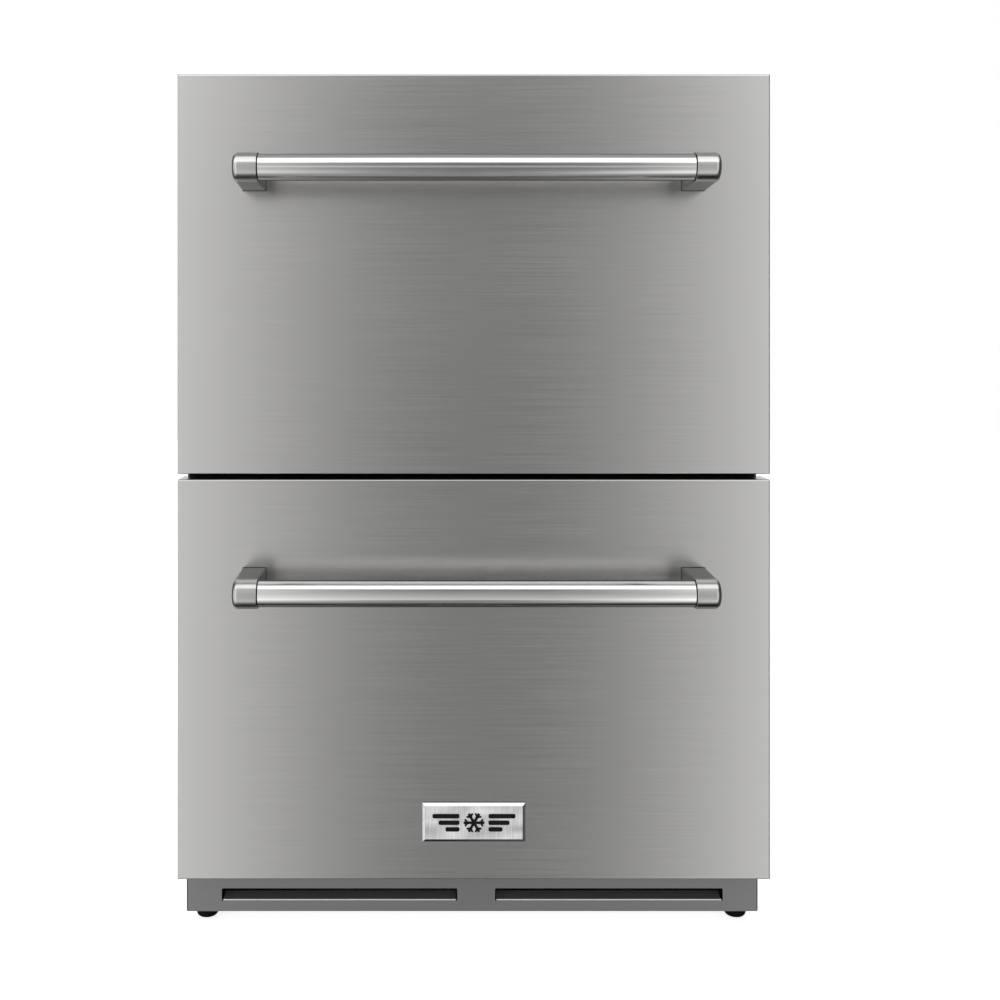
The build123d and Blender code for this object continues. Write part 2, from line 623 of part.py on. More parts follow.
# ---------------------------------------------------------------- control unit and lamp
CONTROL_X, CONTROL_Y, CONTROL_Z = (-80.0, 80.0), (Y_FLANGE + 9, Y_FLANGE + 52), (796.0, 829.0)
BUTTON_R, BUTTON_CLEAR, BUTTON_Z = 5.0, 0.3, 811.0
BUTTONS = {"power": 26.0, "colder": 44.0, "warmer": 62.0}
with BuildPart() as control_housing:
    with BuildSketch(Plane.YZ.offset(CONTROL_X[0])):
        with BuildLine():
            Polyline(
                (CONTROL_Y[0], CONTROL_Z[0]),
                (CONTROL_Y[0] + 16, CONTROL_Z[0]),
                (CONTROL_Y[1], CONTROL_Z[1] - 8),
                (CONTROL_Y[1], CONTROL_Z[1]),
                (CONTROL_Y[0], CONTROL_Z[1]),
                close=True,
            )
        make_face()
    extrude(amount=CONTROL_X[1] - CONTROL_X[0])
    fillet(control_housing.edges().filter_by(Axis.Z).group_by(Axis.Y)[0], 3)
    for button_x in BUTTONS.values():
        with BuildSketch(front_plane(CONTROL_Y[0])):
            with Locations((button_x, BUTTON_Z)):
                Circle(BUTTON_R + BUTTON_CLEAR)
        extrude(amount=-6, mode=Mode.SUBTRACT)
    with BuildSketch(front_plane(CONTROL_Y[0])):
        with Locations((-35, BUTTON_Z)):
            RectangleRounded(70, 20, 2)
    extrude(amount=-1, mode=Mode.SUBTRACT)
write(control_housing, "control_housing")

for button_name, button_x in BUTTONS.items():
    with BuildPart() as button:
        with BuildSketch(front_plane(CONTROL_Y[0] - 1.2)):
            with Locations((button_x, BUTTON_Z)):
                Circle(BUTTON_R)
        extrude(amount=-5.2)
        fillet(button.edges().group_by(Axis.Y)[0], 0.8)
    write(button, f"button_{button_name}")

with BuildPart() as interior_lamp:
    with BuildSketch(Plane.XY.offset(CAVITY_TOP - LINER - 7)):
        with Locations((0, CONTROL_Y[1] + 40)):
            RectangleRounded(150, 26, 5)
    extrude(amount=7)
    fillet(interior_lamp.faces().sort_by(Axis.Z)[0].edges(), 3)
write(interior_lamp, "interior_lamp")


# ---------------------------------------------------------------- refrigeration: air side
def fan_blade(plane, radius, hub_r, depth, bore_r, blades):
    """A fan rotor about the plane's own z: a hub with pitched blades fused to it, and a shaft bore."""
    with BuildPart(plane) as rotor:
        Cylinder(hub_r, depth)
        reach = radius - hub_r + 3
        with PolarLocations(radius - reach / 2, blades):
            Box(reach, radius * 0.62, 1.4, rotation=(32, 0, 0))
        with BuildSketch(plane.offset(-depth)) as disc:
            Circle(radius)
        extrude(amount=2 * depth, mode=Mode.INTERSECT)
        Cylinder(bore_r, 2 * depth, mode=Mode.SUBTRACT)
    return rotor


SHAFT_R, SHAFT_CLEAR = 3.0, 0.06
condenser_axis = Plane(origin=(-194, *CONDENSER_FAN), x_dir=(0, 1, 0), z_dir=(1, 0, 0))
write(fan_blade(condenser_axis, 66, 17, 22, SHAFT_R + SHAFT_CLEAR, 5), "condenser_fan_blade")

with BuildPart() as condenser_fan_shroud:
    shroud_y = (CONDENSER_FAN[0] - 74, CONDENSER_FAN[0] + 74)
    span((-216, -206), shroud_y, (CLEAR_Z + PAN_SHEET, 240))
    with BuildSketch(Plane.YZ.offset(-220)):
        with Locations(CONDENSER_FAN):
            Circle(70)
    extrude(amount=30, mode=Mode.SUBTRACT)
    with BuildSketch(Plane.YZ.offset(-206)):
        with Locations(CONDENSER_FAN):
            Circle(73)
            Circle(70, mode=Mode.SUBTRACT)
    extrude(amount=24)
write(condenser_fan_shroud, "condenser_fan_shroud")

with BuildPart() as condenser_fan_motor:
    with BuildSketch(Plane.YZ.offset(-178)):
        with Locations(CONDENSER_FAN):
            Circle(26)
    extrude(amount=38)
    fillet(condenser_fan_motor.edges().group_by(Axis.X)[-1], 5)
    with BuildSketch(Plane.YZ.offset(-178)):
        with Locations(CONDENSER_FAN):
            with PolarLocations(49.5, 3, start_angle=90):
                Rectangle(51, 9)
    extrude(amount=4)
    # the arms end in feet that land on the rim of the shroud
    with BuildSketch(Plane.YZ.offset(-182)):
        with Locations(CONDENSER_FAN):
            with PolarLocations(71.5, 3, start_angle=90):
                Rectangle(7, 9)
    extrude(amount=4)
    with BuildSketch(Plane.YZ.offset(-178)):
        with Locations(CONDENSER_FAN):
            Circle(SHAFT_R)
    extrude(amount=-24)
write(condenser_fan_motor, "condenser_fan_motor")


def pipe(points, bend, radius):
    """A round tube, filled, along straight runs joined by arcs."""
    with BuildPart() as tube:
        with BuildLine() as route:
            FilletPolyline(*points, radius=bend)
        with BuildSketch(Plane(origin=route.line @ 0, z_dir=route.line % 0)):
            Circle(radius)
        sweep(path=route.line)
    return tube


def serpentine(passes, low, high, pitch, place):
    """Corner points of a coil whose passes run from low to high and back; place maps them to 3-D."""
    points = []
    for i in range(passes):
        ends = (high, low) if i % 2 == 0 else (low, high)
        points += [place(ends[0], i * pitch), place(ends[1], i * pitch)]
    return points


# The condenser: one serpentine of tube through a stack of fins, with air drawn across it.
COIL_R = 3.2
CONDENSER_X = -246.0
condenser_low, condenser_high = COMPRESSOR[1] - 62, COMPRESSOR[1] + 62
condenser_points = serpentine(
    8, condenser_low - 12, condenser_high, 24.0, lambda along, up: (CONDENSER_X, along, 45.0 + up)
)
condenser_points = [
    (CONDENSER_X, condenser_high + 10, 45.0),
    *condenser_points[1:-1],
    (CONDENSER_X, condenser_high + 10, 45.0 + 7 * 24.0),
]
condenser_tube = pipe(condenser_points, 11.5, COIL_R)
with BuildPart() as condenser_coil:
    add(condenser_tube.part)
    for i in range(18):
        with BuildSketch(front_plane(condenser_low + 4 + i * 6)):
            with Locations((CONDENSER_X, 45.0 + 3.5 * 24.0)):
                Rectangle(40, 204)
        extrude(amount=-0.6)
write(condenser_coil, "condenser_coil")

# The evaporator stands behind its cover in the upper part of the cavity.
EVAPORATOR_Z, EVAPORATOR_PITCH = 560.0, 24.0
evaporator_points = serpentine(
    6, -202, 202, EVAPORATOR_PITCH, lambda along, up: (along, EVAPORATOR_TUBE_Y, EVAPORATOR_Z + up)
)
evaporator_points[0] = (218, EVAPORATOR_TUBE_Y, EVAPORATOR_Z)
evaporator_points[-1] = (218, EVAPORATOR_TUBE_Y, EVAPORATOR_Z + 5 * EVAPORATOR_PITCH)
evaporator_tube = pipe(evaporator_points, 11.5, COIL_R)
with BuildPart() as evaporator_coil:
    add(evaporator_tube.part)
    for i in range(46):
        with BuildSketch(Plane.YZ.offset(-180 + i * 8)):
            with Locations((EVAPORATOR_TUBE_Y, EVAPORATOR_Z + 2.5 * EVAPORATOR_PITCH)):
                Rectangle(34, 142)
        extrude(amount=0.6)
write(evaporator_coil, "evaporator_coil")

with BuildPart() as evaporator_cover:
    cover_z = (STEP_Z + LINER + 0.5, CAVITY_TOP - LINER - 0.5)
    with BuildSketch(front_plane(EVAPORATOR_COVER_Y)):
        with Locations((0, sum(cover_z) / 2)):
            RectangleRounded(2 * WALL_X - 1, cover_z[1] - cover_z[0], 11)
        # a ring of slots in front of the fan, and rows of return air slots low down
        for ring_r, count, length in ((18, 6, 14), (31, 10, 15), (44, 14, 16)):
            with Locations(EVAPORATOR_FAN):
                with PolarLocations(ring_r, count):
                    SlotOverall(length, 5, rotation=90, mode=Mode.SUBTRACT)
        with Locations((0, 470)):
            with GridLocations(48, 14, 8, 5):
                SlotOverall(38, 5, mode=Mode.SUBTRACT)
    extrude(amount=-LINER)
write(evaporator_cover, "evaporator_cover")

evaporator_axis = Plane(
    origin=(EVAPORATOR_FAN[0], EVAPORATOR_COVER_Y + 15, EVAPORATOR_FAN[1]),
    x_dir=(1, 0, 0),
    z_dir=(0, 1, 0),
)
write(fan_blade(evaporator_axis, 50, 13, 16, SHAFT_R + SHAFT_CLEAR, 5), "evaporator_fan_blade")

with BuildPart() as evaporator_fan_motor:
    motor_y = EVAPORATOR_COVER_Y + 27
    with BuildSketch(front_plane(motor_y)):
        with Locations(EVAPORATOR_FAN):
            Circle(20)
    extrude(amount=-(CAVITY_BACK - LINER - motor_y))
    with BuildSketch(front_plane(CAVITY_BACK - LINER - 3)):
        with Locations(EVAPORATOR_FAN):
            RectangleRounded(90, 30, 4)
    extrude(amount=-3)
    with BuildSketch(front_plane(motor_y)):
        with Locations(EVAPORATOR_FAN):
            Circle(SHAFT_R)
    extrude(amount=18)
write(evaporator_fan_motor, "evaporator_fan_motor")

# ---------------------------------------------------------------- refrigeration: machine side
GROMMET_H = 13.0
PLATE_T = 3.0  # mounting plate of the compressor
SHELL_Z = CLEAR_Z + PAN_SHEET + GROMMET_H + PLATE_T
SHELL_H = 152.0
BOSS_Z = 120.0
with BuildPart() as compressor:
    with BuildSketch(Plane.XY.offset(SHELL_Z)):
        with Locations(COMPRESSOR):
            Ellipse(78, 64)
    extrude(amount=SHELL_H)
    fillet(compressor.edges().group_by(Axis.Z)[-1], 30)
    fillet(compressor.edges().group_by(Axis.Z)[0], 18)
    # weld seam where the two halves of the shell meet
    with BuildSketch(Plane.XY.offset(SHELL_Z + 80)):
        with Locations(COMPRESSOR):
            Ellipse(81, 67)
    extrude(amount=5)
    # mounting plate, with a hole over each grommet
    with BuildSketch(Plane.XY.offset(SHELL_Z - PLATE_T)):
        with Locations(COMPRESSOR):
            RectangleRounded(168, 128, 14)
        with Locations(*COMPRESSOR_FEET):
            Circle(STUD_R + 0.1, mode=Mode.SUBTRACT)
    extrude(amount=PLATE_T)
    # suction and discharge stubs on the right and left
    for side, stub_r in ((1, SUCTION_R + 1.5), (-1, DISCHARGE_R + 1.5)):
        with BuildSketch(Plane.YZ.offset(COMPRESSOR[0] + side * 70)):
            with Locations((COMPRESSOR[1] - 10, BOSS_Z)):
                Circle(stub_r)
        extrude(amount=side * 22)
write(compressor, "compressor")

with BuildPart() as compressor_terminal_box:
    span(
        (COMPRESSOR[0] - 34, COMPRESSOR[0] + 34),
        (COMPRESSOR[1] - 86, COMPRESSOR[1] - 50),
        (70, 134),
    )
    fillet(compressor_terminal_box.edges().filter_by(Axis.Z), 5)
    add(compressor.part, mode=Mode.SUBTRACT)
write(compressor_terminal_box, "compressor_terminal_box")

with BuildPart() as compressor_grommets:
    grommet_r, groove_r, groove_h = 11.0, 8.0, 3.0
    for foot in COMPRESSOR_FEET:
        with BuildSketch(Plane.XY.offset(CLEAR_Z + PAN_SHEET)):
            with Locations(foot):
                Circle(grommet_r)
                Circle(STUD_R, mode=Mode.SUBTRACT)
        extrude(amount=GROMMET_H)
        with BuildSketch(Plane.XY.offset(CLEAR_Z + PAN_SHEET + (GROMMET_H - groove_h) / 2)):
            with Locations(foot):
                Circle(grommet_r)
                Circle(groove_r, mode=Mode.SUBTRACT)
        extrude(amount=groove_h, mode=Mode.SUBTRACT)
write(compressor_grommets, "compressor_grommets")

suction_start = (COMPRESSOR[0] + 92, COMPRESSOR[1] - 10, BOSS_Z)
suction_line = pipe(
    [
        suction_start,
        (suction_start[0] + 24, suction_start[1], BOSS_Z),
        (suction_start[0] + 24, suction_start[1], 232.0),
        (SUCTION_RISER[0], SUCTION_RISER[1], 232.0),
        (SUCTION_RISER[0], SUCTION_RISER[1], EVAPORATOR_Z + 5 * EVAPORATOR_PITCH),
        (218, EVAPORATOR_TUBE_Y, EVAPORATOR_Z + 5 * EVAPORATOR_PITCH),
    ],
    9,
    SUCTION_R,
)
write(suction_line, "suction_line")

discharge_start = (COMPRESSOR[0] - 92, COMPRESSOR[1] - 10, BOSS_Z)
condenser_inlet = (CONDENSER_X, condenser_high + 10, 45.0 + 7 * 24.0)
discharge_line = pipe(
    [
        discharge_start,
        (20, discharge_start[1], BOSS_Z),
        (20, discharge_start[1], 232.0),
        (20, condenser_high + 18, 232.0),
        (-120, condenser_high + 18, 232.0),
        (-120, condenser_high + 18, 246.0),
        (CONDENSER_X, condenser_high + 18, 246.0),
        (CONDENSER_X, condenser_high + 18, condenser_inlet[2]),
        condenser_inlet,
    ],
    6,
    DISCHARGE_R,
)
write(discharge_line, "discharge_line")

DRIER = (-60.0, COMPRESSOR[1] + 66)
DRIER_Z = (70.0, 150.0)
with BuildPart() as filter_drier:
    with BuildSketch(Plane.XY.offset(DRIER_Z[0])):
        with Locations(DRIER):
            Circle(10)
    extrude(amount=DRIER_Z[1] - DRIER_Z[0])
    fillet(filter_drier.edges().group_by(Axis.Z)[-1], 7)
    fillet(filter_drier.edges().group_by(Axis.Z)[0], 6)
    # the liquid tube brings refrigerant from the foot of the condenser
    with BuildLine() as liquid_route:
        FilletPolyline(
            (CONDENSER_X, condenser_high + 10, 45.0),
            (CONDENSER_X, condenser_high + 20, 45.0),
            (CONDENSER_X, condenser_high + 20, 30.0),
            (DRIER[0], condenser_high + 20, 30.0),
            (DRIER[0], DRIER[1], 30.0),
            (DRIER[0], DRIER[1], DRIER_Z[0] + 2),
            radius=4.5,
        )
    with BuildSketch(Plane(origin=liquid_route.line @ 0, z_dir=liquid_route.line % 0)):
        Circle(COIL_R)
    sweep(path=liquid_route.line)
write(filter_drier, "filter_drier")

capillary_tube = pipe(
    [
        (DRIER[0], DRIER[1], DRIER_Z[1]),
        (DRIER[0], DRIER[1], 200.0),
        (DRIER[0], CAPILLARY_RISER[1], 200.0),
        (DRIER[0], CAPILLARY_RISER[1], 243.0),
        (CAPILLARY_RISER[0], CAPILLARY_RISER[1], 243.0),
        (CAPILLARY_RISER[0], CAPILLARY_RISER[1], EVAPORATOR_Z),
        (CAPILLARY_RISER[0], EVAPORATOR_TUBE_Y, EVAPORATOR_Z),
        (218, EVAPORATOR_TUBE_Y, EVAPORATOR_Z),
    ],
    4,
    CAPILLARY_R,
)
write(capillary_tube, "capillary_tube")

PAN_BOTTOM_Z = SHELL_Z + SHELL_H
with BuildPart() as drain_pan:
    with BuildSketch(Plane.XY.offset(PAN_BOTTOM_Z)):
        with Locations(COMPRESSOR):
            RectangleRounded(150, 120, 14)
    extrude(amount=24)
    fillet(drain_pan.faces().sort_by(Axis.Z)[0].edges(), 6)
    offset(amount=-LINER, openings=drain_pan.faces().sort_by(Axis.Z)[-1])
write(drain_pan, "drain_pan")

with BuildPart() as drain_tube:
    with BuildSketch(Plane.XY.offset(PAN_BOTTOM_Z + 14)):
        with Locations(DRAIN_RISER):
            Circle(DRAIN_R)
            Circle(DRAIN_R - 1.5, mode=Mode.SUBTRACT)
    extrude(amount=STEP_Z + LINER - PAN_BOTTOM_Z - 14)
    with BuildSketch(Plane.XY.offset(STEP_Z + LINER)):
        with Locations(DRAIN_RISER):
            Circle(DRAIN_R + 4)
            Circle(DRAIN_R - 1.5, mode=Mode.SUBTRACT)
    extrude(amount=2)
write(drain_tube, "drain_tube")
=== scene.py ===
import bpy
import bmesh
import json
import math
from mathutils import Matrix, Vector


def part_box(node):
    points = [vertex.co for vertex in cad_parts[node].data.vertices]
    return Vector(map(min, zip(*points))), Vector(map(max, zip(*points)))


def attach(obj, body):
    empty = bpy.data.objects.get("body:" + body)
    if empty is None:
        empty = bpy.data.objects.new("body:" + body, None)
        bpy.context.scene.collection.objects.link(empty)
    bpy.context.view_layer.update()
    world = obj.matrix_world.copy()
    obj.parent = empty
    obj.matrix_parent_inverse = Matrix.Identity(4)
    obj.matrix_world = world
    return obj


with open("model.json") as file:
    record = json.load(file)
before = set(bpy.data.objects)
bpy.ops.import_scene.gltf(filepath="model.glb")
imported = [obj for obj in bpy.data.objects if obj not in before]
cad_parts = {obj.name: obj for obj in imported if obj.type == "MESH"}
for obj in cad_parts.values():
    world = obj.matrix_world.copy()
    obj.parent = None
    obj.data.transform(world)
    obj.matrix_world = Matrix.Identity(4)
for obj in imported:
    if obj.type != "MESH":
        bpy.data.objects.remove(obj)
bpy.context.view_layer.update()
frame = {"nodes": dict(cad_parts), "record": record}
nodes = frame["nodes"]

MM = 0.001
MICRON = 0.001 * MM
DRAWERS = ("upper", "lower")
FRONT_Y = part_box("upper_front_skin")[0].y  # the plane of the drawers' fronts
# Where most of a noise pattern's values lie.
PATTERN_LOW, PATTERN_HIGH = 0.3, 0.7


# ---------------------------------------------------------------- shader helpers
class NodeTree:
    """The node tree of a material or of the world, while it is being built."""

    def __init__(self, owner):
        owner.use_nodes = True
        self.tree = owner.node_tree

    def node(self, kind, **values):
        """Adds a node of a kind and sets its properties."""
        made = self.tree.nodes.new(kind)
        for key, value in values.items():
            setattr(made, key, value)
        return made

    def link(self, output, node, socket):
        """Links an output to one of a node's sockets, given by name or number."""
        self.tree.links.new(output, node.inputs[socket])

    def ramp(self, value, stops):
        """A colour ramp through (position, colour) stops."""
        made = self.node("ShaderNodeValToRGB")
        elements = made.color_ramp.elements
        while len(elements) < len(stops):
            elements.new(0.5)
        for element, (position, colour) in zip(elements, stops):
            element.position = position
            element.color = (*colour, 1.0)
        self.link(value, made, "Fac")
        return made.outputs["Color"]


class Paint(NodeTree):
    """A material under construction, with its Principled shader."""

    def __init__(self, name, colour, roughness, metallic=0.0):
        self.material = bpy.data.materials.new(name)
        super().__init__(self.material)
        self.shader = self.tree.nodes["Principled BSDF"]
        self.set("Base Color", (*colour, 1.0))
        self.set("Roughness", roughness)
        self.set("Metallic", metallic)

    def set(self, socket, value):
        """Sets one of the shader's values."""
        self.shader.inputs[socket].default_value = value

    def place(self, stretch):
        """Object coordinates in metres, each axis multiplied by stretch."""
        coordinates = self.node("ShaderNodeTexCoord")
        mapping = self.node("ShaderNodeMapping")
        mapping.inputs["Scale"].default_value = stretch
        self.link(coordinates.outputs["Object"], mapping, "Vector")
        return mapping.outputs["Vector"]

    def noise(self, stretch, detail=3.0, roughness=0.5, distortion=0.0):
        """A noise pattern with stretch cycles to the metre along each axis."""
        made = self.node("ShaderNodeTexNoise")
        made.inputs["Scale"].default_value = 1.0
        made.inputs["Detail"].default_value = detail
        made.inputs["Roughness"].default_value = roughness
        made.inputs["Distortion"].default_value = distortion
        self.link(self.place(stretch), made, "Vector")
        return made.outputs["Fac"]

    def cells(self, stretch):
        """A node of a cell pattern with stretch cells to the metre along each axis."""
        made = self.node("ShaderNodeTexVoronoi", feature="F1")
        made.inputs["Scale"].default_value = 1.0
        self.link(self.place(stretch), made, "Vector")
        return made

    def span(self, value, low, high):
        """Maps a pattern's usual values to low..high."""
        made = self.node("ShaderNodeMapRange")
        made.inputs["From Min"].default_value = PATTERN_LOW
        made.inputs["From Max"].default_value = PATTERN_HIGH
        made.inputs["To Min"].default_value = low
        made.inputs["To Max"].default_value = high
        self.link(value, made, "Value")
        return made.outputs["Result"]

    def math(self, operation, a, b):
        """Combines two values, each a number or a node's output."""
        made = self.node("ShaderNodeMath", operation=operation)
        for index, value in enumerate((a, b)):
            if isinstance(value, (int, float)):
                made.inputs[index].default_value = value
            else:
                self.link(value, made, index)
        return made.outputs["Value"]

    def mixed(self, first, share, second):
        """Two patterns added together, the first with its share of the whole."""
        first_part = self.math("MULTIPLY", first, share)
        second_part = self.math("MULTIPLY", second, 1 - share)
        return self.math("ADD", first_part, second_part)

    def colour(self, value, dark, light, low=PATTERN_LOW, high=PATTERN_HIGH):
        """Colours the surface from dark, where value is low, to light, where it is high."""
        self.link(self.ramp(value, [(low, dark), (high, light)]), self.shader, "Base Color")

    def roughen(self, value, low, high):
        """Lets the roughness follow a pattern, from low to high."""
        self.link(self.span(value, low, high), self.shader, "Roughness")

    def bump(self, height, depth):
        """Raises the surface by up to depth metres."""
        made = self.node("ShaderNodeBump")
        made.inputs["Distance"].default_value = depth
        made.inputs["Strength"].default_value = 1.0
        self.link(height, made, "Height")
        self.link(made.outputs["Normal"], self.shader, "Normal")

    def brushed_along(self, axis, amount):
        """Stretches highlights round an axis, as the fine lines of brushing do."""
        self.set("Anisotropic", amount)
        tangent = self.node("ShaderNodeTangent", direction_type="RADIAL", axis=axis)
        self.link(tangent.outputs["Tangent"], self.shader, "Tangent")


# ---------------------------------------------------------------- materials
def tinted(colour, share):
    """A colour multiplied by share, with no part of it above 1."""
    return tuple(min(1.0, share * c) for c in colour)


def brushed_steel(name, colour, roughness, metallic=1.0):
    """Sheet steel with a fine horizontal grain. A lower metallic value stands for a dull finish."""
    paint = Paint(name, colour, roughness, metallic)
    lines = paint.noise((7, 900, 900), detail=4.0, roughness=0.65)
    cloud = paint.noise((3, 3, 5), detail=2.0)
    pattern = paint.mixed(lines, 0.8, cloud)
    paint.colour(pattern, tinted(colour, 0.97), tinted(colour, 1.025))
    paint.roughen(pattern, roughness - 0.02, roughness + 0.03)
    paint.bump(lines, 1.5 * MICRON)
    return paint.material


def satin_steel(name, colour, roughness, across=0.0, edge_shade=0.0):
    """Satin-polished stock: fine lines along it, highlights widened by across, edges dimmed by a
    grey edge tint as painted shade.
    """
    paint = Paint(name, colour, roughness, 1.0)
    lines = paint.noise((25, 1400, 1400), detail=3.0, roughness=0.6)
    paint.colour(lines, tinted(colour, 0.985), tinted(colour, 1.015))
    paint.roughen(lines, roughness - 0.02, roughness + 0.03)
    paint.bump(lines, 0.2 * MICRON)
    # Painted shade: the grey edge tint darkens glancing reflections, standing in for dark rims.
    paint.set("Specular Tint", (edge_shade, edge_shade, edge_shade, 1.0))
    if across:
        paint.brushed_along("Z", across)
    return paint.material


def polished_chrome():
    """Bright plating with a trace of haze."""
    paint = Paint("polished_chrome", (0.78, 0.78, 0.78), 0.12, 1.0)
    haze = paint.noise((160, 160, 160), detail=3.0)
    paint.colour(haze, (0.72, 0.72, 0.72), (0.84, 0.84, 0.84))
    paint.roughen(haze, 0.08, 0.16)
    return paint.material


def badge_silver():
    """The badge's face: cross-brushed silver, its colour mixing the brushed lines with a soft cloudy
    painted sheen.
    """
    paint = Paint("badge_silver", (0.7, 0.7, 0.7), 0.38, 0.45)
    lines = paint.noise((2200, 2200, 60), detail=3.0)
    # Painted sheen: cloudy light and dark patches in the colour stand in for reflections.
    painted_sheen = paint.noise((26, 26, 45), detail=1.0, distortion=0.6)
    pattern = paint.mixed(lines, 0.35, painted_sheen)
    paint.colour(pattern, (0.47, 0.47, 0.47), (0.88, 0.88, 0.88), 0.36, 0.62)
    paint.roughen(lines, 0.3, 0.45)
    paint.bump(lines, 4 * MICRON)
    return paint.material


def black_inlay():
    """The badge's matt black enamel."""
    paint = Paint("black_inlay", (0.005, 0.005, 0.005), 0.5)
    paint.set("Specular IOR Level", 0.1)
    fleck = paint.noise((900, 900, 900))
    paint.colour(fleck, (0.003, 0.003, 0.003), (0.009, 0.009, 0.009))
    paint.roughen(fleck, 0.42, 0.6)
    return paint.material


def powder_coat():
    """The casing's dark coat, with the fine orange peel of baked powder."""
    paint = Paint("powder_coat", (0.03, 0.031, 0.033), 0.42)
    peel = paint.noise((420, 420, 420), detail=2.0, roughness=0.45)
    dust = paint.noise((5, 5, 8), detail=5.0)
    paint.colour(dust, (0.03, 0.031, 0.033), (0.036, 0.037, 0.039))
    paint.roughen(dust, 0.41, 0.46)
    paint.bump(peel, 40 * MICRON)
    return paint.material


def galvanised():
    """Hot-dip zinc: interlocking crystals, each a slightly different grey."""
    paint = Paint("galvanised", (0.5, 0.51, 0.53), 0.45, 0.9)
    crystals = paint.cells((110, 110, 110))
    tint = paint.node("ShaderNodeSeparateColor")
    paint.link(crystals.outputs["Color"], tint, "Color")
    fine = paint.noise((600, 600, 600), detail=3.0)
    pattern = paint.mixed(tint.outputs["Red"], 0.6, fine)
    paint.colour(pattern, (0.5, 0.51, 0.53), (0.58, 0.59, 0.61), 0.1, 0.9)
    paint.roughen(pattern, 0.42, 0.5)
    paint.bump(fine, 10 * MICRON)
    return paint.material


def moulded(name, colour, roughness, grain=1500, depth=20 * MICRON, vary=0.08, specular=0.5):
    """Moulded plastic or rubber: a fine grain on the surface and a little unevenness of colour."""
    paint = Paint(name, colour, roughness)
    paint.set("Specular IOR Level", specular)
    texture = paint.noise((grain, grain, grain), detail=2.0)
    cloud = paint.noise((12, 12, 12), detail=4.0)
    paint.colour(cloud, tinted(colour, 1 - vary), tinted(colour, 1 + vary))
    paint.roughen(texture, roughness - 0.05, roughness + 0.08)
    paint.bump(texture, depth)
    return paint.material


def clear_bin():
    """Frosted bin plastic with faint flow lines from the mould."""
    paint = Paint("bin_plastic", (0.74, 0.76, 0.78), 0.3)
    flow = paint.noise((3, 3, 60), detail=3.0, distortion=0.4)
    grain = paint.noise((900, 900, 900), detail=2.0)
    paint.colour(flow, (0.73, 0.75, 0.77), (0.76, 0.78, 0.8))
    paint.roughen(grain, 0.24, 0.4)
    paint.bump(grain, 10 * MICRON)
    paint.set("Subsurface Weight", 0.15)
    paint.set("Subsurface Scale", 0.01)
    return paint.material


def foam():
    """Yellow insulating foam, full of small bubbles."""
    paint = Paint("foam", (0.8, 0.7, 0.42), 0.9)
    bubbles = paint.cells((900, 900, 900)).outputs["Distance"]
    paint.colour(bubbles, (0.62, 0.53, 0.3), (0.85, 0.76, 0.5), 0.0, 0.6)
    paint.bump(bubbles, 300 * MICRON)
    return paint.material


def gasket_vinyl():
    """Soft vinyl with extrusion lines and a trace of talc."""
    paint = Paint("gasket_vinyl", (0.05, 0.05, 0.052), 0.55)
    lines = paint.noise((20, 900, 900), detail=3.0)
    talc = paint.noise((35, 35, 35), detail=6.0)
    paint.colour(talc, (0.012, 0.012, 0.013), (0.028, 0.028, 0.03))
    paint.roughen(talc, 0.48, 0.68)
    paint.bump(lines, 30 * MICRON)
    return paint.material


def zinc_plate():
    """Zinc plate on the slides and screws: bluish grey with drawn lines and faint staining."""
    paint = Paint("zinc_plate", (0.62, 0.63, 0.66), 0.32, 1.0)
    lines = paint.noise((900, 18, 900), detail=3.0)
    stain = paint.noise((14, 14, 14), detail=5.0)
    paint.colour(stain, (0.52, 0.53, 0.52), (0.7, 0.72, 0.76))
    paint.roughen(stain, 0.26, 0.44)
    paint.bump(lines, 6 * MICRON)
    return paint.material


def enamel():
    """The compressor's glossy black enamel, under a little dust."""
    paint = Paint("black_enamel", (0.012, 0.012, 0.013), 0.25)
    peel = paint.noise((260, 260, 260), detail=2.0)
    dust = paint.noise((30, 30, 30), detail=6.0)
    paint.colour(dust, (0.009, 0.009, 0.01), (0.03, 0.029, 0.027))
    paint.roughen(dust, 0.2, 0.42)
    paint.bump(peel, 50 * MICRON)
    paint.set("Coat Weight", 0.3)
    return paint.material


def copper():
    """Drawn copper tube, browned in patches where it was brazed and handled."""
    paint = Paint("copper", (0.75, 0.4, 0.26), 0.3, 1.0)
    patches = paint.noise((28, 28, 28), detail=5.0)
    stops = [(0.3, (0.3, 0.14, 0.08)), (0.52, (0.62, 0.31, 0.19)), (0.75, (0.86, 0.5, 0.34))]
    paint.link(paint.ramp(patches, stops), paint.shader, "Base Color")
    paint.roughen(patches, 0.42, 0.22)
    return paint.material


def fin_metal():
    """Thin aluminium with the smears that its rolling leaves."""
    paint = Paint("fin_aluminium", (0.72, 0.73, 0.74), 0.38, 1.0)
    smear = paint.noise((60, 60, 60), detail=4.0)
    paint.colour(smear, (0.58, 0.59, 0.6), (0.82, 0.83, 0.84))
    paint.roughen(smear, 0.3, 0.5)
    paint.bump(smear, 20 * MICRON)
    return paint.material


def lamp_lens():
    """Frosted lens over a row of light-emitting diodes, which glow through as soft spots."""
    paint = Paint("lamp_lens", (0.93, 0.94, 0.95), 0.35)
    spots = paint.node("ShaderNodeTexWave", wave_type="BANDS", bands_direction="X")
    spots.inputs["Scale"].default_value = 1.0
    paint.link(paint.place((13, 13, 13)), spots, "Vector")
    ridges = paint.noise((900, 40, 40))
    glow = paint.ramp(spots.outputs["Fac"], [(0.2, (0.75, 0.72, 0.66)), (0.9, (1.0, 0.97, 0.9))])
    paint.link(glow, paint.shader, "Emission Color")
    paint.set("Emission Strength", 1.3)
    paint.roughen(ridges, 0.3, 0.5)
    paint.bump(ridges, 40 * MICRON)
    return paint.material


